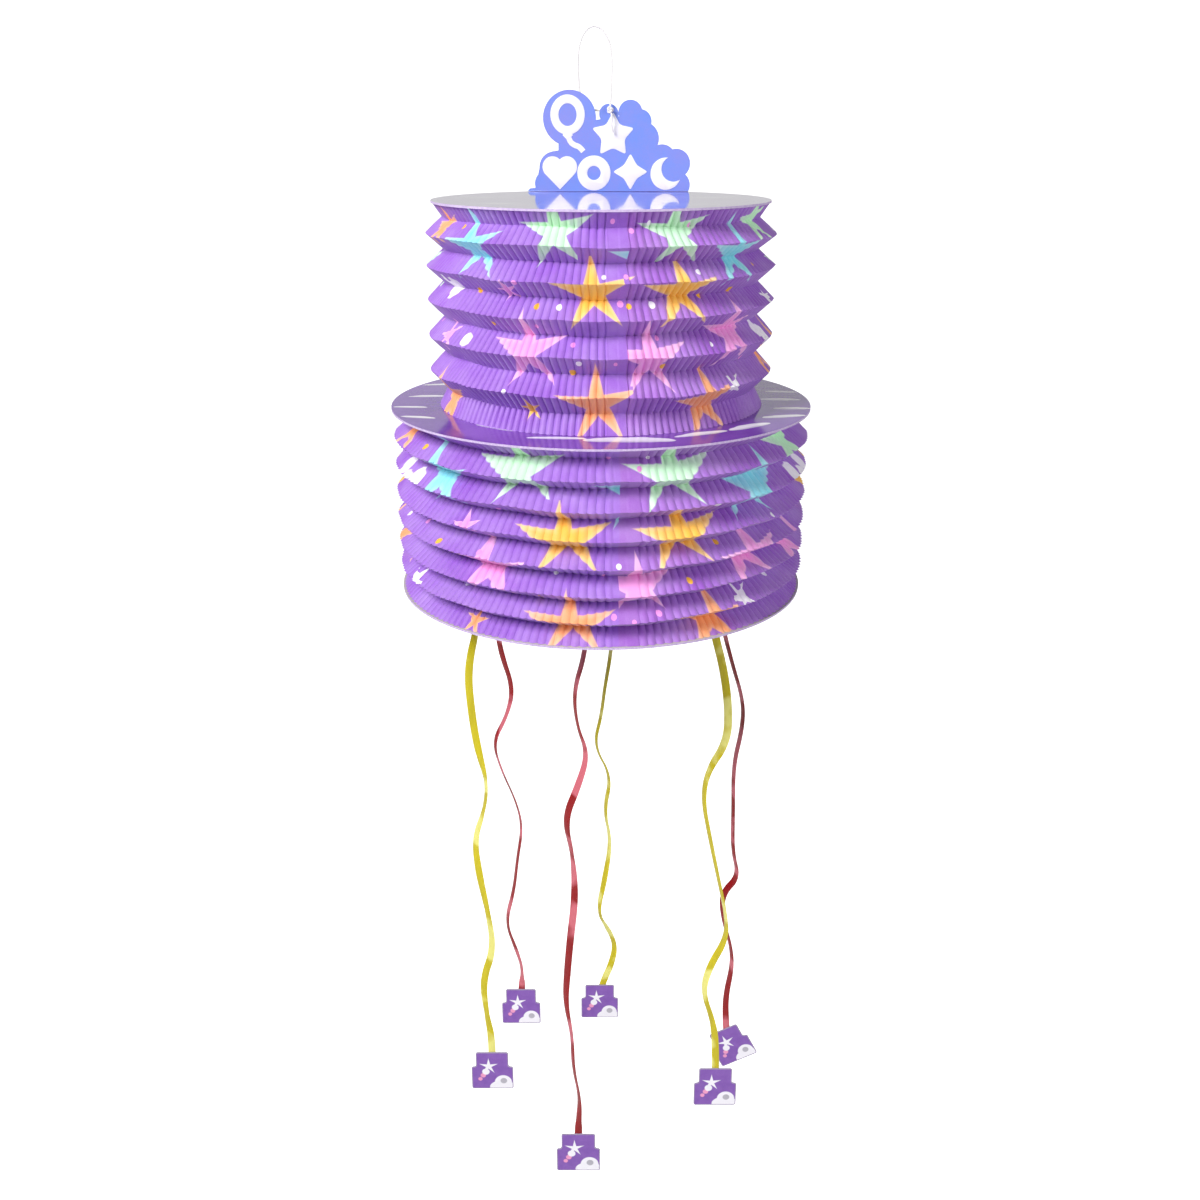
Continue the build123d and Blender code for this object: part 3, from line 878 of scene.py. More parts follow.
def tag_material(settings):
    """Printed tag: a falling star with a pink tail, over a pale hill."""
    material, tree, shader = new_material(
        "tag_print", Roughness=0.35, Specular_IOR_Level=0.45, Coat_Weight=0.2, Coat_Roughness=0.15
    )
    flat = put(tree, "ShaderNodeUVMap", uv_map="print")
    grain = place_group(tree, grain_group(), {"Vector": flat, "Mottle Scale": 120.0, "Fibre Scale": 1500.0})
    shade = blend_colours(tree, ramp(tree, grain["Shade"], 0.35, 0.7, 0.0, 0.2), settings.purple,
                          (0.55, 0.3, 0.8))
    parts = apart(tree, flat)
    across, up = parts[0], parts[1]

    def round_spot(centre, radius, squeeze=1.0, soft=0.25 * MM):
        """Mask of a disc or an oval on the tag."""
        aside = figure(tree, "SUBTRACT", across, centre[0] * MM)
        above = figure(tree, "MULTIPLY", figure(tree, "SUBTRACT", up, centre[1] * MM), squeeze)
        square = figure(tree, "MULTIPLY_ADD", aside, aside, figure(tree, "MULTIPLY", above, above))
        reach = figure(tree, "SQRT", square)
        return ramp(tree, reach, radius * MM + soft, radius * MM - soft)

    hill = figure(tree, "MAXIMUM", round_spot((7.5, -25.5), 6.0), round_spot((7.0, -29.5), 9.0, 1.6))
    hollow = round_spot((7.8, -24.2), 2.3)
    paper_hill = blend_colours(tree, hollow, settings.white, settings.grey)
    with_hill = blend_colours(tree, hill, shade, paper_hill)
    centred = put(tree, "ShaderNodeVectorMath", flat, (-2.6 * MM, -11.8 * MM, 0.0), operation="SUBTRACT")
    scaled = put(tree, "ShaderNodeVectorMath", centred, None, None, 1.0 / (6.8 * MM), operation="SCALE")
    star = place_group(tree, star_group(), {"Vector": scaled, "Softness": 0.04, "Rim Width": 0.1})
    tail = figure(tree, "MAXIMUM", round_spot((-6.5, -19.5), 1.9), round_spot((-8.6, -22.6), 1.5))
    body = figure(tree, "MAXIMUM", round_spot((-4.6, -16.4), 2.6), star["Mask"])
    with_tail = blend_colours(tree, tail, with_hill, settings.pink)
    drawn = blend_colours(tree, body, with_tail, settings.white)
    is_face = tree.nodes.new("ShaderNodeAttribute")
    is_face.attribute_name = "printed"
    edge = (0.36, 0.30, 0.44)
    tree.links.new(blend_colours(tree, is_face.outputs["Fac"], edge, drawn), shader.inputs["Base Color"])
    roughen(tree, shader, grain["Height"], strength=0.12, depth=0.05 * MM)
    return material


# ---- paper tiers ------------------------------------------------------------------------------
CORNERS_PER_FLUTE = 8
# How far each corner of a flute stands out, from crest to groove: round crests, tight grooves.
FLUTE_SECTION = (1.0, 0.8, 0.35, -0.3, -1.25, -0.3, 0.35, 0.8)
ROWS_PER_FACET = 2
# Half of the nearly flat stretch at the glue seam, in degrees, and the overlap's width in that half.
SEAM_HALF = 3.2
OVERLAP_SHARE = 2.2
# Share of a tier's height at each end in which its folds are held ever more steadily.
HELD_SHARE = 0.12


def bellows_rows(settings, height):
    """Each row of the zigzag wall from the top down: (radius, drop, distance along the paper)."""
    growth = settings.growth
    first = (height - growth * settings.pleats * (settings.pleats - 1) / 2) / settings.pleats
    ridge = settings.ridge_radius - PAPER_WALL / 2
    end = settings.end_radius - PAPER_WALL / 2
    folds = []
    drop = 0.0
    for pleat in range(settings.pleats):
        length = first + growth * pleat
        folds.append((end if pleat == 0 else ridge, drop))
        folds.append((ridge - settings.valley_depth, drop + length * settings.underside))
        drop += length
    folds.append((end, height))
    rows = [(folds[0][0], 0.0, 0.0)]
    for above, below in zip(folds, folds[1:]):
        slant = math.hypot(below[0] - above[0], below[1] - above[1])
        start = rows[-1][2]
        for step in range(1, ROWS_PER_FACET + 1):
            share = step / ROWS_PER_FACET
            rows.append((
                above[0] + share * (below[0] - above[0]),
                above[1] + share * (below[1] - above[1]),
                start + share * slant,
            ))
    return rows


def front_angle(place):
    """Angle from the front of the lantern, to the right, of a place seen from the axis."""
    return math.atan2(place.x - AXIS.x, -(place.y - AXIS.y))


def shape_flutes(wall, settings, paper):
    """Pushes the corners of the first ring in and out, and leaves the glue seam nearly flat."""
    seam_half = math.radians(SEAM_HALF)
    middle = (AXIS.x, AXIS.y, 0.0)
    radius = settings.end_radius
    corners = settings.flutes * CORNERS_PER_FLUTE
    for phase, rise in enumerate(FLUTE_SECTION):
        def on_flute(vertex):
            place = wall.matrix_world @ vertex.co
            angle = front_angle(place)
            number = round(angle / FULL_TURN * corners)
            return number % CORNERS_PER_FLUTE == phase and abs(angle - settings.seam) > seam_half
        pick(wall, "verts", on_flute)
        factor = 1 + rise * paper.flute_depth / radius
        bpy.ops.transform.resize(value=(factor, factor, 1.0), center_override=middle)

    def on_overlap(vertex):
        angle = front_angle(wall.matrix_world @ vertex.co)
        return settings.seam < angle < settings.seam + OVERLAP_SHARE * seam_half
    pick(wall, "verts", on_overlap)
    factor = 1 + paper.overlap_step / radius
    bpy.ops.transform.resize(value=(factor, factor, 1.0), center_override=middle)


def lay_out_paper(wall, rows, settings, top):
    """Gives the wall its flat coordinates: distance round the tier and distance along the paper."""
    mesh = wall.data
    level_of = {round(drop / MM, 2): along for radius, drop, along in rows}
    places = [vertex.co for vertex in mesh.vertices]
    along = [level_of[min(level_of, key=lambda key: abs(key - (top - place.z) / MM))] for place in places]
    turn = [front_angle(place) for place in places]
    layer = mesh.uv_layers.new(name="paper")
    for face in mesh.polygons:
        turns = [turn[vertex] for vertex in face.vertices]
        wraps = max(turns) - min(turns) > math.pi
        for loop, vertex in zip(face.loop_indices, face.vertices):
            angle = turn[vertex]
            if wraps and angle < 0:
                angle += FULL_TURN
            layer.data[loop].uv = (angle * settings.ridge_radius, along[vertex])


def print_motifs(wall, settings, paper, paper_length, motifs, name):
    """Gives each face the place, size, turn and ink of the motif nearest to it."""
    mesh = wall.data
    inks = {ink: tuple(getattr(paper, ink)) for ink in INKS}
    motifs = motifs + [
        (angle + ARTWORK_REPEAT, share, radius, turn, ink, 0)
        for angle, share, radius, turn, ink, side in motifs if side == 0
    ]
    across = np.array([math.radians(motif[0]) * settings.ridge_radius for motif in motifs])
    down = np.array([motif[1] * paper_length for motif in motifs])
    radii = np.array([motif[2] * MM for motif in motifs])
    sides = np.array([motif[5] for motif in motifs])
    whole_turn = FULL_TURN * settings.ridge_radius
    seam_reach = settings.print_edge * settings.ridge_radius

    loops = len(mesh.loops)
    flat = np.empty(loops * 2)
    mesh.uv_layers["paper"].data.foreach_get("uv", flat)
    flat = flat.reshape(-1, 2)
    motif_uv = np.zeros((loops, 2))
    motif_ink = np.ones((loops, 4))
    for face in mesh.polygons:
        corners = list(face.loop_indices)
        middle = flat[corners].mean(axis=0)
        aside = (middle[0] - across + whole_turn / 2) % whole_turn - whole_turn / 2
        reach = np.hypot(aside, (middle[1] - down) * MOTIF_STRETCH) / radii
        if abs(middle[0] - seam_reach) < whole_turn / 4:
            reach = np.where(sides * (middle[0] - seam_reach) < 0, OUT_OF_REACH, reach)
        best = int(np.argmin(reach))
        turn = math.radians(motifs[best][3])
        for corner in corners:
            east = (flat[corner][0] - across[best] + whole_turn / 2) % whole_turn - whole_turn / 2
            north = (down[best] - flat[corner][1]) * MOTIF_STRETCH
            east, north = east / radii[best], north / radii[best]
            motif_uv[corner] = (
                east * math.cos(turn) + north * math.sin(turn),
                north * math.cos(turn) - east * math.sin(turn),
            )
            motif_ink[corner][:3] = inks[motifs[best][4]]
    mesh.uv_layers.new(name=name)
    mesh.color_attributes.new(name + "_ink", "FLOAT_COLOR", "CORNER")
    mesh.uv_layers[name].data.foreach_set("uv", motif_uv.ravel())
    mesh.color_attributes[name + "_ink"].data.foreach_set("color", motif_ink.ravel())


def wave_paper(wall, paper, rows, top, name):
    """Lets the free folds stray a little, and holds both glued ends."""
    free = wall.vertex_groups.new(name="free")
    height = rows[-1][1]
    for vertex in wall.data.vertices:
        drop = top - vertex.co.z
        hold = min(drop, height - drop) / (HELD_SHARE * height)
        free.add([vertex.index], max(0.0, min(1.0, hold)), "REPLACE")
    texture = bpy.data.textures.new(name + "_wave", "CLOUDS")
    texture.noise_scale = 0.045
    texture.noise_depth = 1
    finish_modifier(wall, "DISPLACE", texture=texture, texture_coords="LOCAL", direction="Z",
                    strength=2 * paper.waviness, mid_level=0.5, vertex_group="free")
    fine = bpy.data.textures.new(name + "_pucker", "CLOUDS")
    fine.noise_scale = 0.018
    fine.noise_depth = 0
    for direction in ("X", "Y"):
        finish_modifier(wall, "DISPLACE", texture=fine, texture_coords="LOCAL", direction=direction,
                        strength=0.7 * paper.waviness, mid_level=0.5, vertex_group="free")
    wall.vertex_groups.clear()
    bpy.data.textures.remove(texture)
    bpy.data.textures.remove(fine)


def make_paper_tier(context, settings, name, top, height, stars, dots, seed):
    """A fluted paper bellows between two boards."""
    paper = context.scene.pinata_paper
    rows = bellows_rows(settings, height)
    wall = begin(
        bpy.ops.mesh.primitive_circle_add,
        vertices=settings.flutes * CORNERS_PER_FLUTE,
        radius=rows[0][0],
        location=(AXIS.x, AXIS.y, top),
    )
    apply_place(wall)
    name_piece(wall, name)
    edit(wall)
    shape_flutes(wall, settings, paper)
    bpy.ops.mesh.select_mode(type="EDGE")
    bpy.ops.mesh.select_all(action="SELECT")
    for above, below in zip(rows, rows[1:]):
        bpy.ops.mesh.extrude_region_move(
            TRANSFORM_OT_translate={"value": (0.0, 0.0, above[1] - below[1])}
        )
        ratio = below[0] / above[0]
        bpy.ops.transform.resize(value=(ratio, ratio, 1.0), center_override=(AXIS.x, AXIS.y, 0.0))
    bpy.ops.mesh.select_all(action="SELECT")
    bpy.ops.mesh.normals_make_consistent(inside=False)
    leave_edit()
    lay_out_paper(wall, rows, settings, top)
    print_motifs(wall, settings, paper, rows[-1][2], stars, "star")
    round_dots = [(angle, share, radius, 0, ink, 0) for angle, share, radius, ink in dots]
    print_motifs(wall, settings, paper, rows[-1][2], round_dots, "dot")
    wave_paper(wall, paper, rows, top, name)
    finish_modifier(wall, "SOLIDIFY", thickness=paper.thickness, offset=0.0)
    smooth(wall, 50)
    material = paper_material(paper, settings.print_edge * settings.ridge_radius, name + "_print", seed)
    return dress(wall, material)


class PINATA_OT_upper_paper(bpy.types.Operator):
    """Model the upper fluted paper tier"""

    bl_idname = "pinata.upper_paper"
    bl_label = "Upper Paper Tier"
    bl_options = {"REGISTER", "UNDO"}

    def execute(self, context):
        settings = context.scene.pinata_upper_paper
        height = TOP_UNDER - TIER_FACE
        wall = make_paper_tier(context, settings, "upper_paper", TOP_UNDER, height,
                               UPPER_STARS, UPPER_DOTS, 0.0)
        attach(wall, "top")
        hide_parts("upper_bellows")
        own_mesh(wall)
        return {"FINISHED"}


class PINATA_OT_lower_paper(bpy.types.Operator):
    """Model the lower fluted paper tier"""

    bl_idname = "pinata.lower_paper"
    bl_label = "Lower Paper Tier"
    bl_options = {"REGISTER", "UNDO"}

    def execute(self, context):
        settings = context.scene.pinata_lower_paper
        height = TIER_UNDER - BOTTOM_FACE
        wall = make_paper_tier(context, settings, "lower_paper", TIER_UNDER, height,
                               LOWER_STARS, LOWER_DOTS, 0.7)
        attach(wall, "tier")
        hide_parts("lower_bellows")
        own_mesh(wall)
        return {"FINISHED"}


# ---- boards -----------------------------------------------------------------------------------
# Clouds: (place from the axis in millimetres, turn in degrees, length, depth).
TIER_CLOUDS = [
    ((15, -105), 0, 50, 14),
    ((-24, -100), 4, 32, 7),
    ((54, -90), -28, 32, 9),
    ((82, -72), -38, 30, 10),
    ((-58, -75), 36, 26, 7),
    ((104, -46), -14, 26, 8),
    ((112, -24), 0, 24, 7),
    ((108, 2), 4, 26, 8),
    ((112, 26), 8, 20, 6),
    ((-104, -48), 14, 22, 6),
    ((-112, -20), 4, 20, 6),
    ((-106, 12), -4, 24, 7),
    ((-100, 50), -8, 26, 7),
    ((84, 76), 8, 34, 9),
    ((10, 110), 0, 40, 9),
    ((-66, 88), -6, 34, 8),
]
TOP_CLOUDS = [
    ((-52, -48), 20, 40, 9),
    ((48, -52), -20, 36, 8),
    ((-12, -84), 0, 34, 6),
    ((-66, 14), 0, 34, 8),
    ((62, 12), 0, 40, 10),
    ((0, 18), 0, 46, 10),
    ((-40, 52), 0, 34, 8),
    ((34, 56), 0, 38, 9),
]


class PINATA_OT_boards(bpy.types.Operator):
    """Print and laminate the three boards and both doors"""

    bl_idname = "pinata.boards"
    bl_label = "Boards and Doors"
    bl_options = {"REGISTER", "UNDO"}

    def execute(self, context):
        settings = context.scene.pinata_boards
        top = board_material(settings, "top_board_print", TOP_CLOUDS, 1.0)
        tier = board_material(settings, "tier_board_print", TIER_CLOUDS, 0.35)
        bottom = board_material(settings, "bottom_board_print", TIER_CLOUDS, 0.35, printed_side=-1.0)
        for node, material in (
            ("top_disc", top),
            ("fill_flap", top),
            ("tier_disc", tier),
            ("bottom_disc", bottom),
            ("trap_door", bottom),
        ):
            dress(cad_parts[node], material)
        return {"FINISHED"}


# ---- header -----------------------------------------------------------------------------------
PLATE_SINK = 0.1 * MM


def header_place(across, height):
    """A place on the front of the header card, from millimetres off the axis and over the disc."""
    return Vector((AXIS.x + across * MM, HEADER_FRONT, TOP_FACE + height * MM))


def round_plate(across, height, radius, rise, corners=48):
    """A flat round blank on the header's front."""
    place = header_place(across, height)
    place.y += (PLATE_SINK - rise) / 2
    return begin(
        bpy.ops.mesh.primitive_cylinder_add,
        vertices=corners,
        radius=radius * MM,
        depth=rise + PLATE_SINK,
        location=place,
        rotation=(math.radians(90), 0, 0),
    )


def oval_plate(across, height, half_width, half_height, rise):
    """A flat oval blank on the header's front."""
    blank = round_plate(across, height, 1.0, rise)
    blank.scale = (half_width, half_height, 1.0)
    apply_place(blank)
    return blank


def bar_plate(across, height, width, length, turn, rise):
    """A flat square-cornered blank on the header's front."""
    place = header_place(across, height)
    place.y += (PLATE_SINK - rise) / 2
    blank = begin(bpy.ops.mesh.primitive_cube_add, size=1.0, location=place)
    blank.scale = (width * MM, rise + PLATE_SINK, length * MM)
    blank.rotation_euler = (0, math.radians(turn), 0)
    apply_place(blank)
    return blank


def join_blank(piece, tool, operation):
    """Adds a blank to a shape, or cuts it out, and drops the blank."""
    finish_modifier(piece, "BOOLEAN", object=tool, operation=operation, solver="EXACT")
    bpy.data.objects.remove(tool)


def star_plate(across, height, radius, waist, points, turn, rise):
    """A star whose tips and waists are softened."""
    blank = round_plate(across, height, radius, rise, corners=2 * points)
    apply_place(blank)
    middle = header_place(across, height)
    edit(blank)

    def is_waist(vertex):
        place = vertex.co - middle
        angle = math.degrees(math.atan2(place.x, place.z)) - turn
        return round(angle / (180 / points)) % 2 == 1
    pick(blank, "verts", is_waist)
    bpy.ops.transform.resize(value=(waist, 1.0, waist), center_override=middle)
    pick(blank, "edges", lambda edge: abs((edge.verts[0].co - edge.verts[1].co).y) > 0.5 * rise)
    bpy.ops.mesh.bevel(offset=0.13 * radius * MM, segments=4, affect="EDGES", clamp_overlap=True)
    leave_edit()
    return blank


def finish_plate(piece, name, rise, material):
    """Rounds the raised rim, and makes the shape part of the header."""
    apply_place(piece)
    tidy_shell(piece)
    finish_modifier(piece, "BEVEL", width=0.45 * rise, segments=2, limit_method="ANGLE",
                    angle_limit=math.radians(50))
    smooth(piece, 40)
    dress(piece, material)
    name_piece(piece, name)
    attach(piece, "header")


# The balloon's string: millimetres off the axis and over the disc.
STRING_POINTS = [(-20.4, 33.5), (-19.6, 30.0), (-16.6, 27.6), (-13.2, 26.8), (-11.0, 24.0)]


class PINATA_OT_header(bpy.types.Operator):
    """Print the header card and model its raised shapes"""

    bl_idname = "pinata.header"
    bl_label = "Header Card"
    bl_options = {"REGISTER", "UNDO"}

    def execute(self, context):
        settings = context.scene.pinata_header
        card = header_material(settings)
        ink = enamel_material(settings)
        rise = settings.shape_rise
        dress(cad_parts["header_card"], card)
        dress(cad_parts["header_foot"], card)

        string_line = [header_place(across, height) for across, height in STRING_POINTS]
        string = nurbs_curve("header_string", string_line)
        string.data.bevel_depth = settings.stroke / 3
        string.data.bevel_resolution = 5
        string.data.use_fill_caps = True
        string = make_mesh(string)
        string.scale.y = rise / (settings.stroke / 3)
        string.location.y = HEADER_FRONT * (1 - string.scale.y)
        apply_place(string)
        tidy_shell(string)
        smooth(string, 60)
        dress(string, ink)
        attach(string, "header")

        crease_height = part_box("header_card")[0].z
        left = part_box("header_card")[0].x
        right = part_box("header_card")[1].x
        crease = begin(
            bpy.ops.mesh.primitive_cylinder_add,
            vertices=12,
            radius=0.92 * (crease_height - TOP_FACE),
            depth=right - left - 2.0 * MM,
            location=((left + right) / 2, HEADER_PLANE, crease_height),
            rotation=(0, math.radians(90), 0),
        )
        apply_place(crease)
        finish_modifier(crease, "BEVEL", width=0.12 * MM, segments=2, limit_method="ANGLE",
                        angle_limit=math.radians(50))
        smooth(crease, 40)
        dress(crease, card)
        name_piece(crease, "header_crease")
        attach(crease, "header")

        thin = settings.stroke / MM
        balloon = oval_plate(-20.6, 45.4, 10.6, 11.6, rise)
        join_blank(balloon, oval_plate(-20.6, 45.4, 10.6 - thin, 11.6 - thin, 4 * rise), "DIFFERENCE")
        join_blank(balloon, bar_plate(-20.6, 33.6, 4.6, 4.6, 45, rise), "UNION")
        finish_plate(balloon, "header_balloon", rise, ink)

        finish_plate(star_plate(7.5, 33.4, 13.8, 0.54, 5, 0, rise), "header_star", rise, ink)
        heart = round_plate(-30.2, 14.8, 6.3, rise)
        join_blank(heart, round_plate(-21.2, 14.8, 6.3, rise), "UNION")
        join_blank(heart, bar_plate(-25.7, 10.3, 12.6, 12.6, 45, rise), "UNION")
        finish_plate(heart, "header_heart", rise, ink)
        ring = round_plate(-4.4, 11.2, 10.4, rise)
        join_blank(ring, round_plate(-4.4, 11.2, 4.2, 4 * rise), "DIFFERENCE")
        finish_plate(ring, "header_ring", rise, ink)
        finish_plate(star_plate(18.4, 11.9, 10.9, 0.52, 4, 0, rise), "header_sparkle", rise, ink)
        moon = round_plate(40.6, 10.8, 9.6, rise)
        join_blank(moon, round_plate(45.4, 13.6, 7.6, 4 * rise), "DIFFERENCE")
        finish_plate(moon, "header_moon", rise, ink)
        return {"FINISHED"}


# ---- cord, ribbons and knots ------------------------------------------------------------------
def cross_frames(points):
    """Steady side directions along a line, for strands that wind round it."""
    frames = []
    side = Vector((0.0, 1.0, 0.0))
    for number, point in enumerate(points):
        before = points[max(number - 1, 0)]
        after = points[min(number + 1, len(points) - 1)]
        forward = (after - before).normalized()
        side = (side - forward * side.dot(forward)).normalized()
        frames.append((point, side, forward.cross(side)))
    return frames


def wind_strands(name, points, strands, strand_radius, winding_radius, lay):
    """A laid cord: strands that wind together round a line."""
    frames = cross_frames(points)
    curve = bpy.data.curves.new(name, "CURVE")
    curve.dimensions = "3D"
    for strand in range(strands):
        spline = curve.splines.new("POLY")
        spline.points.add(len(frames) - 1)
        travelled = 0.0
        for number, (point, side, up) in enumerate(frames):
            if number:
                travelled += (point - frames[number - 1][0]).length
            turn = FULL_TURN * (travelled / lay + strand / strands)
            place = point + winding_radius * (math.cos(turn) * side + math.sin(turn) * up)
            spline.points[number].co = (*place, 1.0)
    curve.bevel_depth = strand_radius
    curve.bevel_resolution = 2
    curve.use_fill_caps = True
    piece = bpy.data.objects.new(name, curve)
    bpy.context.scene.collection.objects.link(piece)
    return make_mesh(piece)


def finer(points, parts):
    """The same line with more points on it."""
    result = [points[0]]
    for before, after in zip(points, points[1:]):
        result += [before.lerp(after, step / parts) for step in range(1, parts + 1)]
    return result


def overhand_line(place, radius, turns=1.0, tilt=0.0, steps=72):
    """A small trefoil knot's closed line round a place."""
    line = []
    for step in range(steps):
        turn = FULL_TURN * step / steps
        reach = 2.0 + math.cos(3 * turn)
        local = Vector((
            reach * math.cos(2 * turn) / 3.2,
            reach * math.sin(2 * turn) / 3.2,
            turns * math.sin(3 * turn) / 2.4,
        )) * radius
        local.rotate(Matrix.Rotation(tilt, 3, "X"))
        line.append(place + local)
    return line


def knot_mesh(name, line, half_width, half_thickness):
    """A closed knot of cord or band along a line."""
    curve = bpy.data.curves.new(name, "CURVE")
    curve.dimensions = "3D"
    spline = curve.splines.new("NURBS")
    spline.points.add(len(line) - 1)
    for point, place in zip(spline.points, line):
        point.co = (*place, 1.0)
    spline.use_cyclic_u = True
    spline.order_u = 3
    spline.resolution_u = 2
    curve.bevel_depth = half_thickness
    curve.extrude = max(0.0, half_width - half_thickness)
    curve.bevel_resolution = 2
    piece = bpy.data.objects.new(name, curve)
    bpy.context.scene.collection.objects.link(piece)
    return make_mesh(piece)


class PINATA_OT_hanging_cord(bpy.types.Operator):
    """Model the laid hanging cord and its knot"""

    bl_idname = "pinata.hanging_cord"
    bl_label = "Hanging Cord"
    bl_options = {"REGISTER", "UNDO"}

    def execute(self, context):
        settings = context.scene.pinata_ribbons
        material = cord_material(settings.cord_colour)
        radius = settings.cord_diameter / 2
        route = [
            Vector((AXIS.x + across * MM, HEADER_PLANE + behind * MM, TOP_FACE + height * MM))
            for across, behind, height in HANG_CORD_POINTS
        ]
        guide = nurbs_curve("hang_cord_guide", route)
        path = line_points(guide)
        bpy.data.objects.remove(guide)
        strand_radius = 0.52 * radius
        cord = wind_strands("hanging_cord", finer(path, 3), 3, strand_radius,
                            radius - strand_radius, settings.cord_lay)
        smooth(cord, 60)
        dress(cord, material)

        across, height = CORD_HOLE
        heart = Vector((AXIS.x + across, HEADER_PLANE - 2.8 * MM, TOP_FACE + height))
        knot = knot_mesh("hanging_knot", overhand_line(heart, 1.75 * MM, tilt=math.radians(90)),
                         0.0, 0.62 * MM)
        tail = nurbs_curve("hanging_tails", [
            heart + Vector((0.2, 3.0, -0.2)) * MM,
            heart + Vector((0.4, -0.6, -1.0)) * MM,
            heart + Vector((1.4, -0.9, -4.6)) * MM,
            heart + Vector((0.6, -0.2, -9.4)) * MM,
            heart + Vector((1.8, 0.3, -13.2)) * MM,
        ])
        tail.data.bevel_depth = 0.58 * MM
        tail.data.bevel_resolution = 3
        tail.data.use_fill_caps = True
        tail = make_mesh(tail)
        clear_selection()
        tail.select_set(True)
        knot.select_set(True)
        context.view_layer.objects.active = knot
        bpy.ops.object.join()
        smooth(knot, 60)
        dress(knot, material)
        for piece, node in ((cord, "hang_cord"), (knot, "hang_knot")):
            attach(piece, "header")
            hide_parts(node)
        return {"FINISHED"}


def ribbon_hole(number):
    """The middle of a ribbon's hole, at the underside of the bottom board."""
    turn = math.radians(RIBBONS[number].ring_angle + RING_TURN)
    across = AXIS.x + RING_RADIUS * math.cos(turn)
    behind = AXIS.y + RING_RADIUS * math.sin(turn)
    return Vector((across, behind, BOTTOM_UNDER))


def ribbon_route(number):
    """A ribbon's control points from its hole down to its tag."""
    hole = ribbon_hole(number)
    start = BOARD / 2 - TRAP_RIBBON_GAP if number == TRAP_RIBBON else BOARD
    steps = [(0.0, 0.0, start / MM)] + RIBBONS[number].points
    return [hole + Vector(step) * MM for step in steps]


def ribbon_body(number):
    return "pull_ribbon" if number == TRAP_RIBBON else "bottom"


def ribbon_line(number):
    """Points along a ribbon's smooth line."""
    guide = nurbs_curve(f"ribbon_guide_{number}", ribbon_route(number))
    path = line_points(guide)
    bpy.data.objects.remove(guide)
    return path


# Where the points across a band lie, as shares of its half width, and the share of the cup that keeps
# the band's middle on its line.
BAND_SHARES = (-1.0, -0.55, 0.0, 0.55, 1.0)
CUP_BALANCE = 0.4
# Length over the tag in which a band stops twisting.
FLATTENING = 10.0 * MM


def make_band(name, number, settings):
    """A thin cupped band that twists as it follows its line, and lies flat behind its tag."""
    route = ribbon_route(number)
    path = ribbon_line(number)
    drops = [route[0].z - point.z for point in route]
    band = bpy.data.objects.new(name, bpy.data.meshes.new(name))
    bpy.context.scene.collection.objects.link(band)
    shell = bmesh.new()
    flat = shell.loops.layers.uv.new("band")
    rows = []
    travelled = 0.0
    for step, point in enumerate(path):
        before = path[max(step - 1, 0)]
        after = path[min(step + 1, len(path) - 1)]
        travelled += (point - before).length
        forward = (after - before).normalized()
        side = Vector((1.0, 0.0, 0.0))
        side = (side - forward * side.dot(forward)).normalized()
        over_tag = (point.z - path[-1].z - TAG_LAP) / FLATTENING
        twist = math.radians(np.interp(route[0].z - point.z, drops, RIBBONS[number].turns))
        turn = twist * max(0.0, min(1.0, over_tag))
        across = side * math.cos(turn) + forward.cross(side) * math.sin(turn)
        facing = across.cross(forward)
        row = []
        for share in BAND_SHARES:
            aside = share * settings.width / 2
            curl = settings.cup * (share ** 2 - CUP_BALANCE)
            row.append((shell.verts.new(point + across * aside + facing * curl), (aside, travelled)))
        rows.append(row)
    for above, below in zip(rows, rows[1:]):
        for left in range(len(above) - 1):
            corners = (above[left], above[left + 1], below[left + 1], below[left])
            face = shell.faces.new([corner[0] for corner in corners])
            for loop, corner in zip(face.loops, corners):
                loop[flat].uv = corner[1]
    shell.to_mesh(band.data)
    shell.free()
    finish_modifier(band, "SOLIDIFY", thickness=settings.thickness, offset=0.0)
    smooth(band, 60)
    return band


class PINATA_OT_ribbons(bpy.types.Operator):
    """Model the six twisting pull ribbons and their knots inside the lantern"""

    bl_idname = "pinata.ribbons"
    bl_label = "Pull Ribbons"
    bl_options = {"REGISTER", "UNDO"}

    def execute(self, context):
        settings = context.scene.pinata_ribbons
        finishes = {
            "yellow": ribbon_material(tuple(settings.yellow), tuple(settings.yellow_painted_highlight), "yellow_ribbon"),
            "red": ribbon_material(tuple(settings.red), tuple(settings.red_painted_highlight), "red_ribbon"),
        }
        first_knot = knot_mesh("ribbon_knot", overhand_line(Vector((0, 0, 0)), 3.6 * MM), 1.5 * MM, 0.35 * MM)
        smooth(first_knot, 60)
        for number, ribbon in RIBBONS.items():
            band = make_band(f"pull_ribbon_{number}", number, settings)
            dress(band, finishes[ribbon.colour])
            knot = copy_of(first_knot, f"inner_knot_{number}")
            hole = ribbon_hole(number)
            knot.location = (hole.x, hole.y, BOTTOM_FACE + 2.6 * MM)
            knot.rotation_euler.z = math.radians(60 * number)
            apply_place(knot)
            dress(knot, finishes[ribbon.colour])
            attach(band, ribbon_body(number))
            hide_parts(f"ribbon_{number}")
            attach(knot, "trap_door" if number == TRAP_RIBBON else "bottom")
            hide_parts(f"ribbon_knot_{number}")
        bpy.data.objects.remove(first_knot)
        return {"FINISHED"}


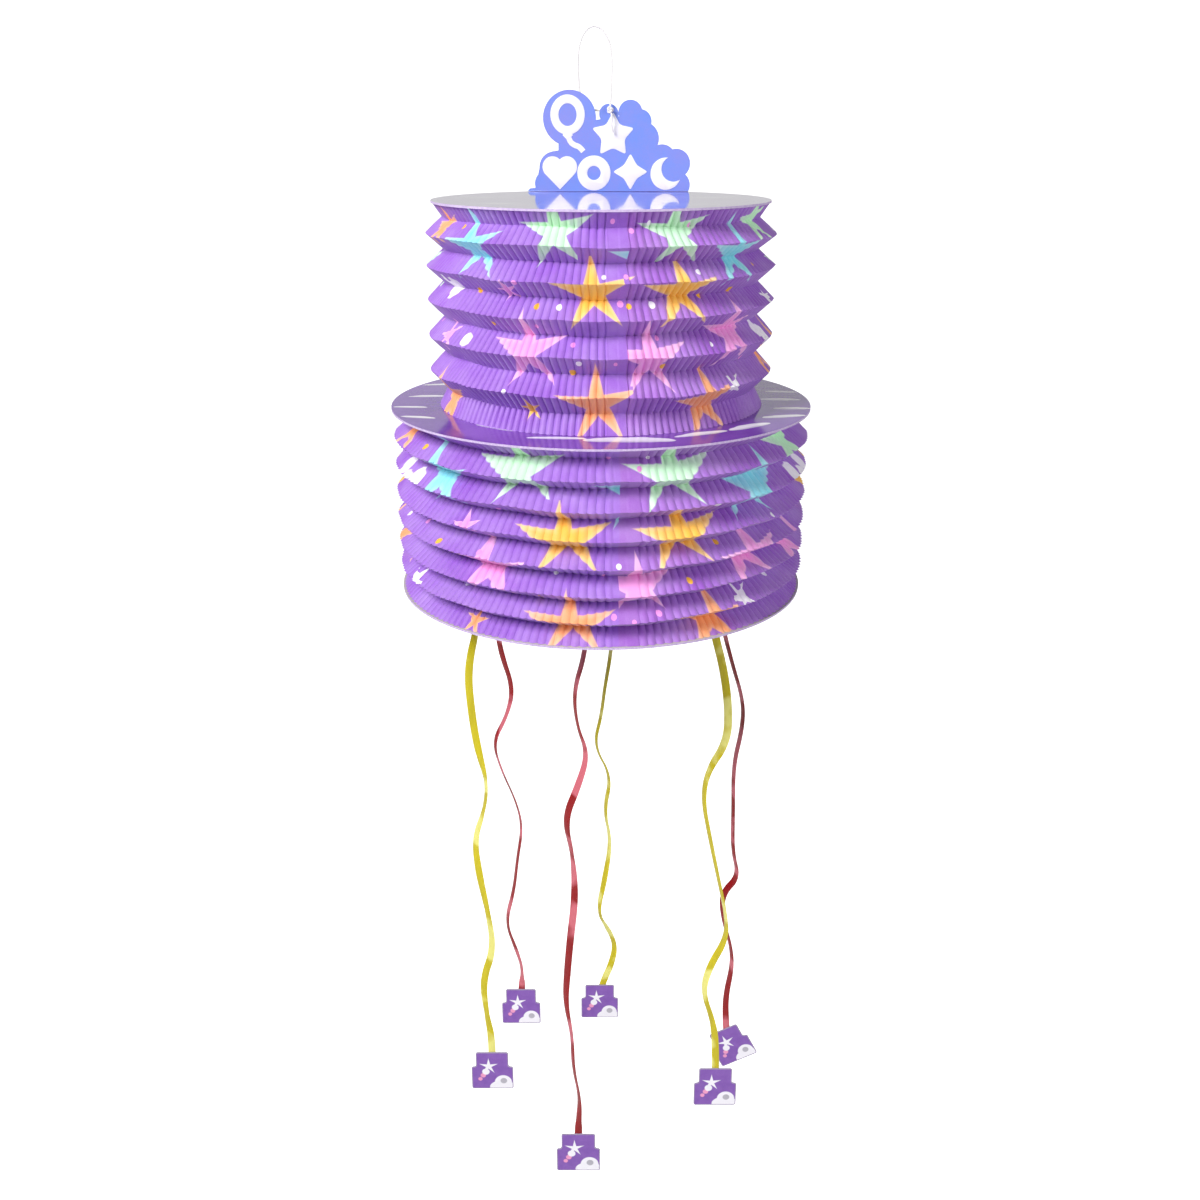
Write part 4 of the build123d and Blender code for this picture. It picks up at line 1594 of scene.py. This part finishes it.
class PINATA_OT_tags(bpy.types.Operator):
    """Model one printed tag and hang a copy on each ribbon"""

    bl_idname = "pinata.tags"
    bl_label = "Ribbon Tags"
    bl_options = {"REGISTER", "UNDO"}

    def execute(self, context):
        settings = context.scene.pinata_tags
        material = tag_material(settings)
        card = begin(bpy.ops.mesh.primitive_cube_add, size=1.0,
                     location=(0, 0, -settings.top_height - settings.base_height / 2))
        card.scale = (settings.width, CARD, settings.base_height)
        apply_place(card)
        step = begin(bpy.ops.mesh.primitive_cube_add, size=1.0,
                     location=(0, 0, -settings.top_height / 2 - 1.0 * MM))
        step.scale = (settings.top_width, CARD, settings.top_height + 2.0 * MM)
        apply_place(step)
        join_blank(card, step, "UNION")
        tidy_shell(card)
        edit(card)
        bpy.ops.mesh.select_all(action="SELECT")
        bpy.ops.mesh.dissolve_limited(angle_limit=math.radians(1))
        pick(card, "edges", lambda edge: abs((edge.verts[0].co - edge.verts[1].co).y) > 0.5 * CARD)
        bpy.ops.mesh.bevel(offset=settings.corner, segments=5, affect="EDGES")
        pick(card, "faces", lambda face: abs(face.normal.y) > 0.9)
        bpy.ops.mesh.inset(thickness=0.7 * MM, depth=0.0, use_individual=True)
        leave_edit()
        card.data.attributes.new("printed", "FLOAT", "CORNER")
        card.data.uv_layers.new(name="print")
        printed = card.data.attributes["printed"]
        layer = card.data.uv_layers["print"]
        biggest = max(face.area for face in card.data.polygons)
        for face in card.data.polygons:
            front = 1.0 if face.normal.y < -0.9 and face.area > 0.5 * biggest else 0.0
            for loop, vertex in zip(face.loop_indices, face.vertices):
                place = card.data.vertices[vertex].co
                layer.data[loop].uv = (place.x, place.z)
                printed.data[loop].value = front
        dress(card, material)
        for number, ribbon in RIBBONS.items():
            end = ribbon_route(number)[-1]
            lean = math.radians(ribbon.tilt)
            tag = copy_of(card, f"ribbon_tag_{number}")
            tag.location = end + TAG_LAP * Vector((-math.sin(lean), 0.0, math.cos(lean)))
            tag.location.y -= TAG_STAND
            tag.rotation_euler.y = -lean
            apply_place(tag)
            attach(tag, ribbon_body(number))
            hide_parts(f"tag_{number}")
            ribbon_line(number)
        bpy.data.objects.remove(card)
        return {"FINISHED"}


# ---- stage ------------------------------------------------------------------------------------
class PINATA_OT_stage(bpy.types.Operator):
    """Set up the camera, the lights and the seamless floor"""

    bl_idname = "pinata.stage"
    bl_label = "Studio Stage"
    bl_options = {"REGISTER", "UNDO"}

    def execute(self, context):
        settings = context.scene.pinata_studio
        camera_offset = 0.6 * MM
        place = Vector((AXIS.x - camera_offset, AXIS.y - settings.distance, TIER_FACE + settings.height))
        bpy.ops.object.camera_add(location=place, rotation=(math.radians(90) - settings.pitch, 0, 0))
        camera = context.object
        camera.name = "view_camera"
        camera.data.lens = settings.lens
        camera.data.clip_start = 0.01
        context.scene.camera = camera

        middle = Vector((AXIS.x, AXIS.y, -0.3))
        for name, offset, size, power in (
            ("key_light", Vector((-1.15, -1.15, 1.35)), 0.85, settings.key_power),
            ("fill_light", Vector((1.6, -1.2, 0.5)), 1.3, settings.fill_power),
            ("back_light", Vector((0.2, 1.7, 0.35)), 2.6, settings.back_power),
        ):
            bpy.ops.object.light_add(type="AREA", location=middle + offset)
            light = context.object
            light.name = name
            light.data.size = size
            light.data.energy = power
            light.rotation_euler = (-offset).to_track_quat("-Z", "Y").to_euler()

        world = bpy.data.worlds.new("even_surround")
        context.scene.world = world
        world.use_nodes = True
        tree = world.node_tree
        surround = tree.nodes["Background"]
        surround.inputs["Strength"].default_value = settings.sky
        seen = put(tree, "ShaderNodeBackground", (1.0, 1.0, 1.0, 1.0), 1.0)
        rays = put(tree, "ShaderNodeLightPath", output=0)
        both = put(tree, "ShaderNodeMixShader", rays, surround.outputs[0], seen)
        surround.inputs["Color"].default_value = (1.0, 1.0, 1.0, 1.0)
        tree.links.new(both, tree.nodes["World Output"].inputs["Surface"])

        reach = 4.0
        floor = begin(bpy.ops.mesh.primitive_plane_add, size=2 * reach,
                      location=(AXIS.x, AXIS.y, -settings.floor_drop))
        apply_place(floor)
        name_piece(floor, "seamless_floor")
        edit(floor)
        pick(floor, "edges", lambda edge: all(vertex.co.y > reach / 2 for vertex in edge.verts))
        bpy.ops.mesh.extrude_region_move(TRANSFORM_OT_translate={"value": (0, 0, reach)})
        pick(floor, "edges", lambda edge: all(
            vertex.co.y > reach / 2 and vertex.co.z < 0 for vertex in edge.verts))
        bpy.ops.mesh.bevel(offset=1.2, segments=24, affect="EDGES")
        leave_edit()
        smooth(floor, 60)
        material, tree, shader = new_material("pale_floor", Roughness=0.85, Specular_IOR_Level=0.1)
        shader.inputs["Base Color"].default_value = (*settings.floor_colour, 1.0)
        shader.inputs["Emission Color"].default_value = (1.0, 1.0, 1.0, 1.0)
        seen = put(tree, "ShaderNodeLightPath", output=0)
        tree.links.new(ramp(tree, seen, 0.0, 1.0, 0.1, 1.0), shader.inputs["Emission Strength"])
        dress(floor, material)
        context.scene.view_settings.view_transform = "Standard"
        return {"FINISHED"}


class PINATA_PT_sidebar(bpy.types.Panel):
    """Lists the pieces of the pinata"""

    bl_idname = "PINATA_PT_sidebar"
    bl_label = "Pinata"
    bl_space_type = "VIEW_3D"
    bl_region_type = "UI"
    bl_category = "Pinata"

    def draw(self, context):
        for group, operators in PANEL_ROWS:
            box = self.layout.box()
            settings = getattr(context.scene, group)
            for name in settings.bl_rna.properties.keys():
                if name not in ("rna_type", "name"):
                    box.prop(settings, name)
            for operator in operators:
                box.operator(operator)


PANEL_ROWS = (
    ("pinata_studio", ("pinata.stage",)),
    ("pinata_ribbons", ("pinata.hanging_cord", "pinata.ribbons")),
    ("pinata_tags", ("pinata.tags",)),
    ("pinata_paper", ()),
    ("pinata_upper_paper", ("pinata.upper_paper",)),
    ("pinata_lower_paper", ("pinata.lower_paper",)),
    ("pinata_boards", ("pinata.boards",)),
    ("pinata_header", ("pinata.header",)),
)
SETTINGS = {
    "pinata_studio": StudioSettings,
    "pinata_ribbons": RibbonSettings,
    "pinata_tags": TagSettings,
    "pinata_paper": PaperSettings,
    "pinata_upper_paper": UpperPaperSettings,
    "pinata_lower_paper": LowerPaperSettings,
    "pinata_boards": BoardSettings,
    "pinata_header": HeaderSettings,
}
OPERATORS = (
    PINATA_OT_stage,
    PINATA_OT_hanging_cord,
    PINATA_OT_ribbons,
    PINATA_OT_tags,
    PINATA_OT_upper_paper,
    PINATA_OT_lower_paper,
    PINATA_OT_boards,
    PINATA_OT_header,
)


def register():
    for name, group in SETTINGS.items():
        bpy.utils.register_class(group)
        setattr(bpy.types.Scene, name, bpy.props.PointerProperty(type=group))
    for operator in OPERATORS:
        bpy.utils.register_class(operator)
    bpy.utils.register_class(PINATA_PT_sidebar)


def unregister():
    bpy.utils.unregister_class(PINATA_PT_sidebar)
    for operator in reversed(OPERATORS):
        bpy.utils.unregister_class(operator)
    for name, group in reversed(SETTINGS.items()):
        delattr(bpy.types.Scene, name)
        bpy.utils.unregister_class(group)


def main():
    register()
    bpy.ops.pinata.stage()
    bpy.ops.pinata.hanging_cord()
    bpy.ops.pinata.ribbons()
    bpy.ops.pinata.tags()
    bpy.ops.pinata.upper_paper()
    bpy.ops.pinata.lower_paper()
    bpy.ops.pinata.boards()
    bpy.ops.pinata.header()
    clear_selection()


if __name__ == "__main__":
    main()
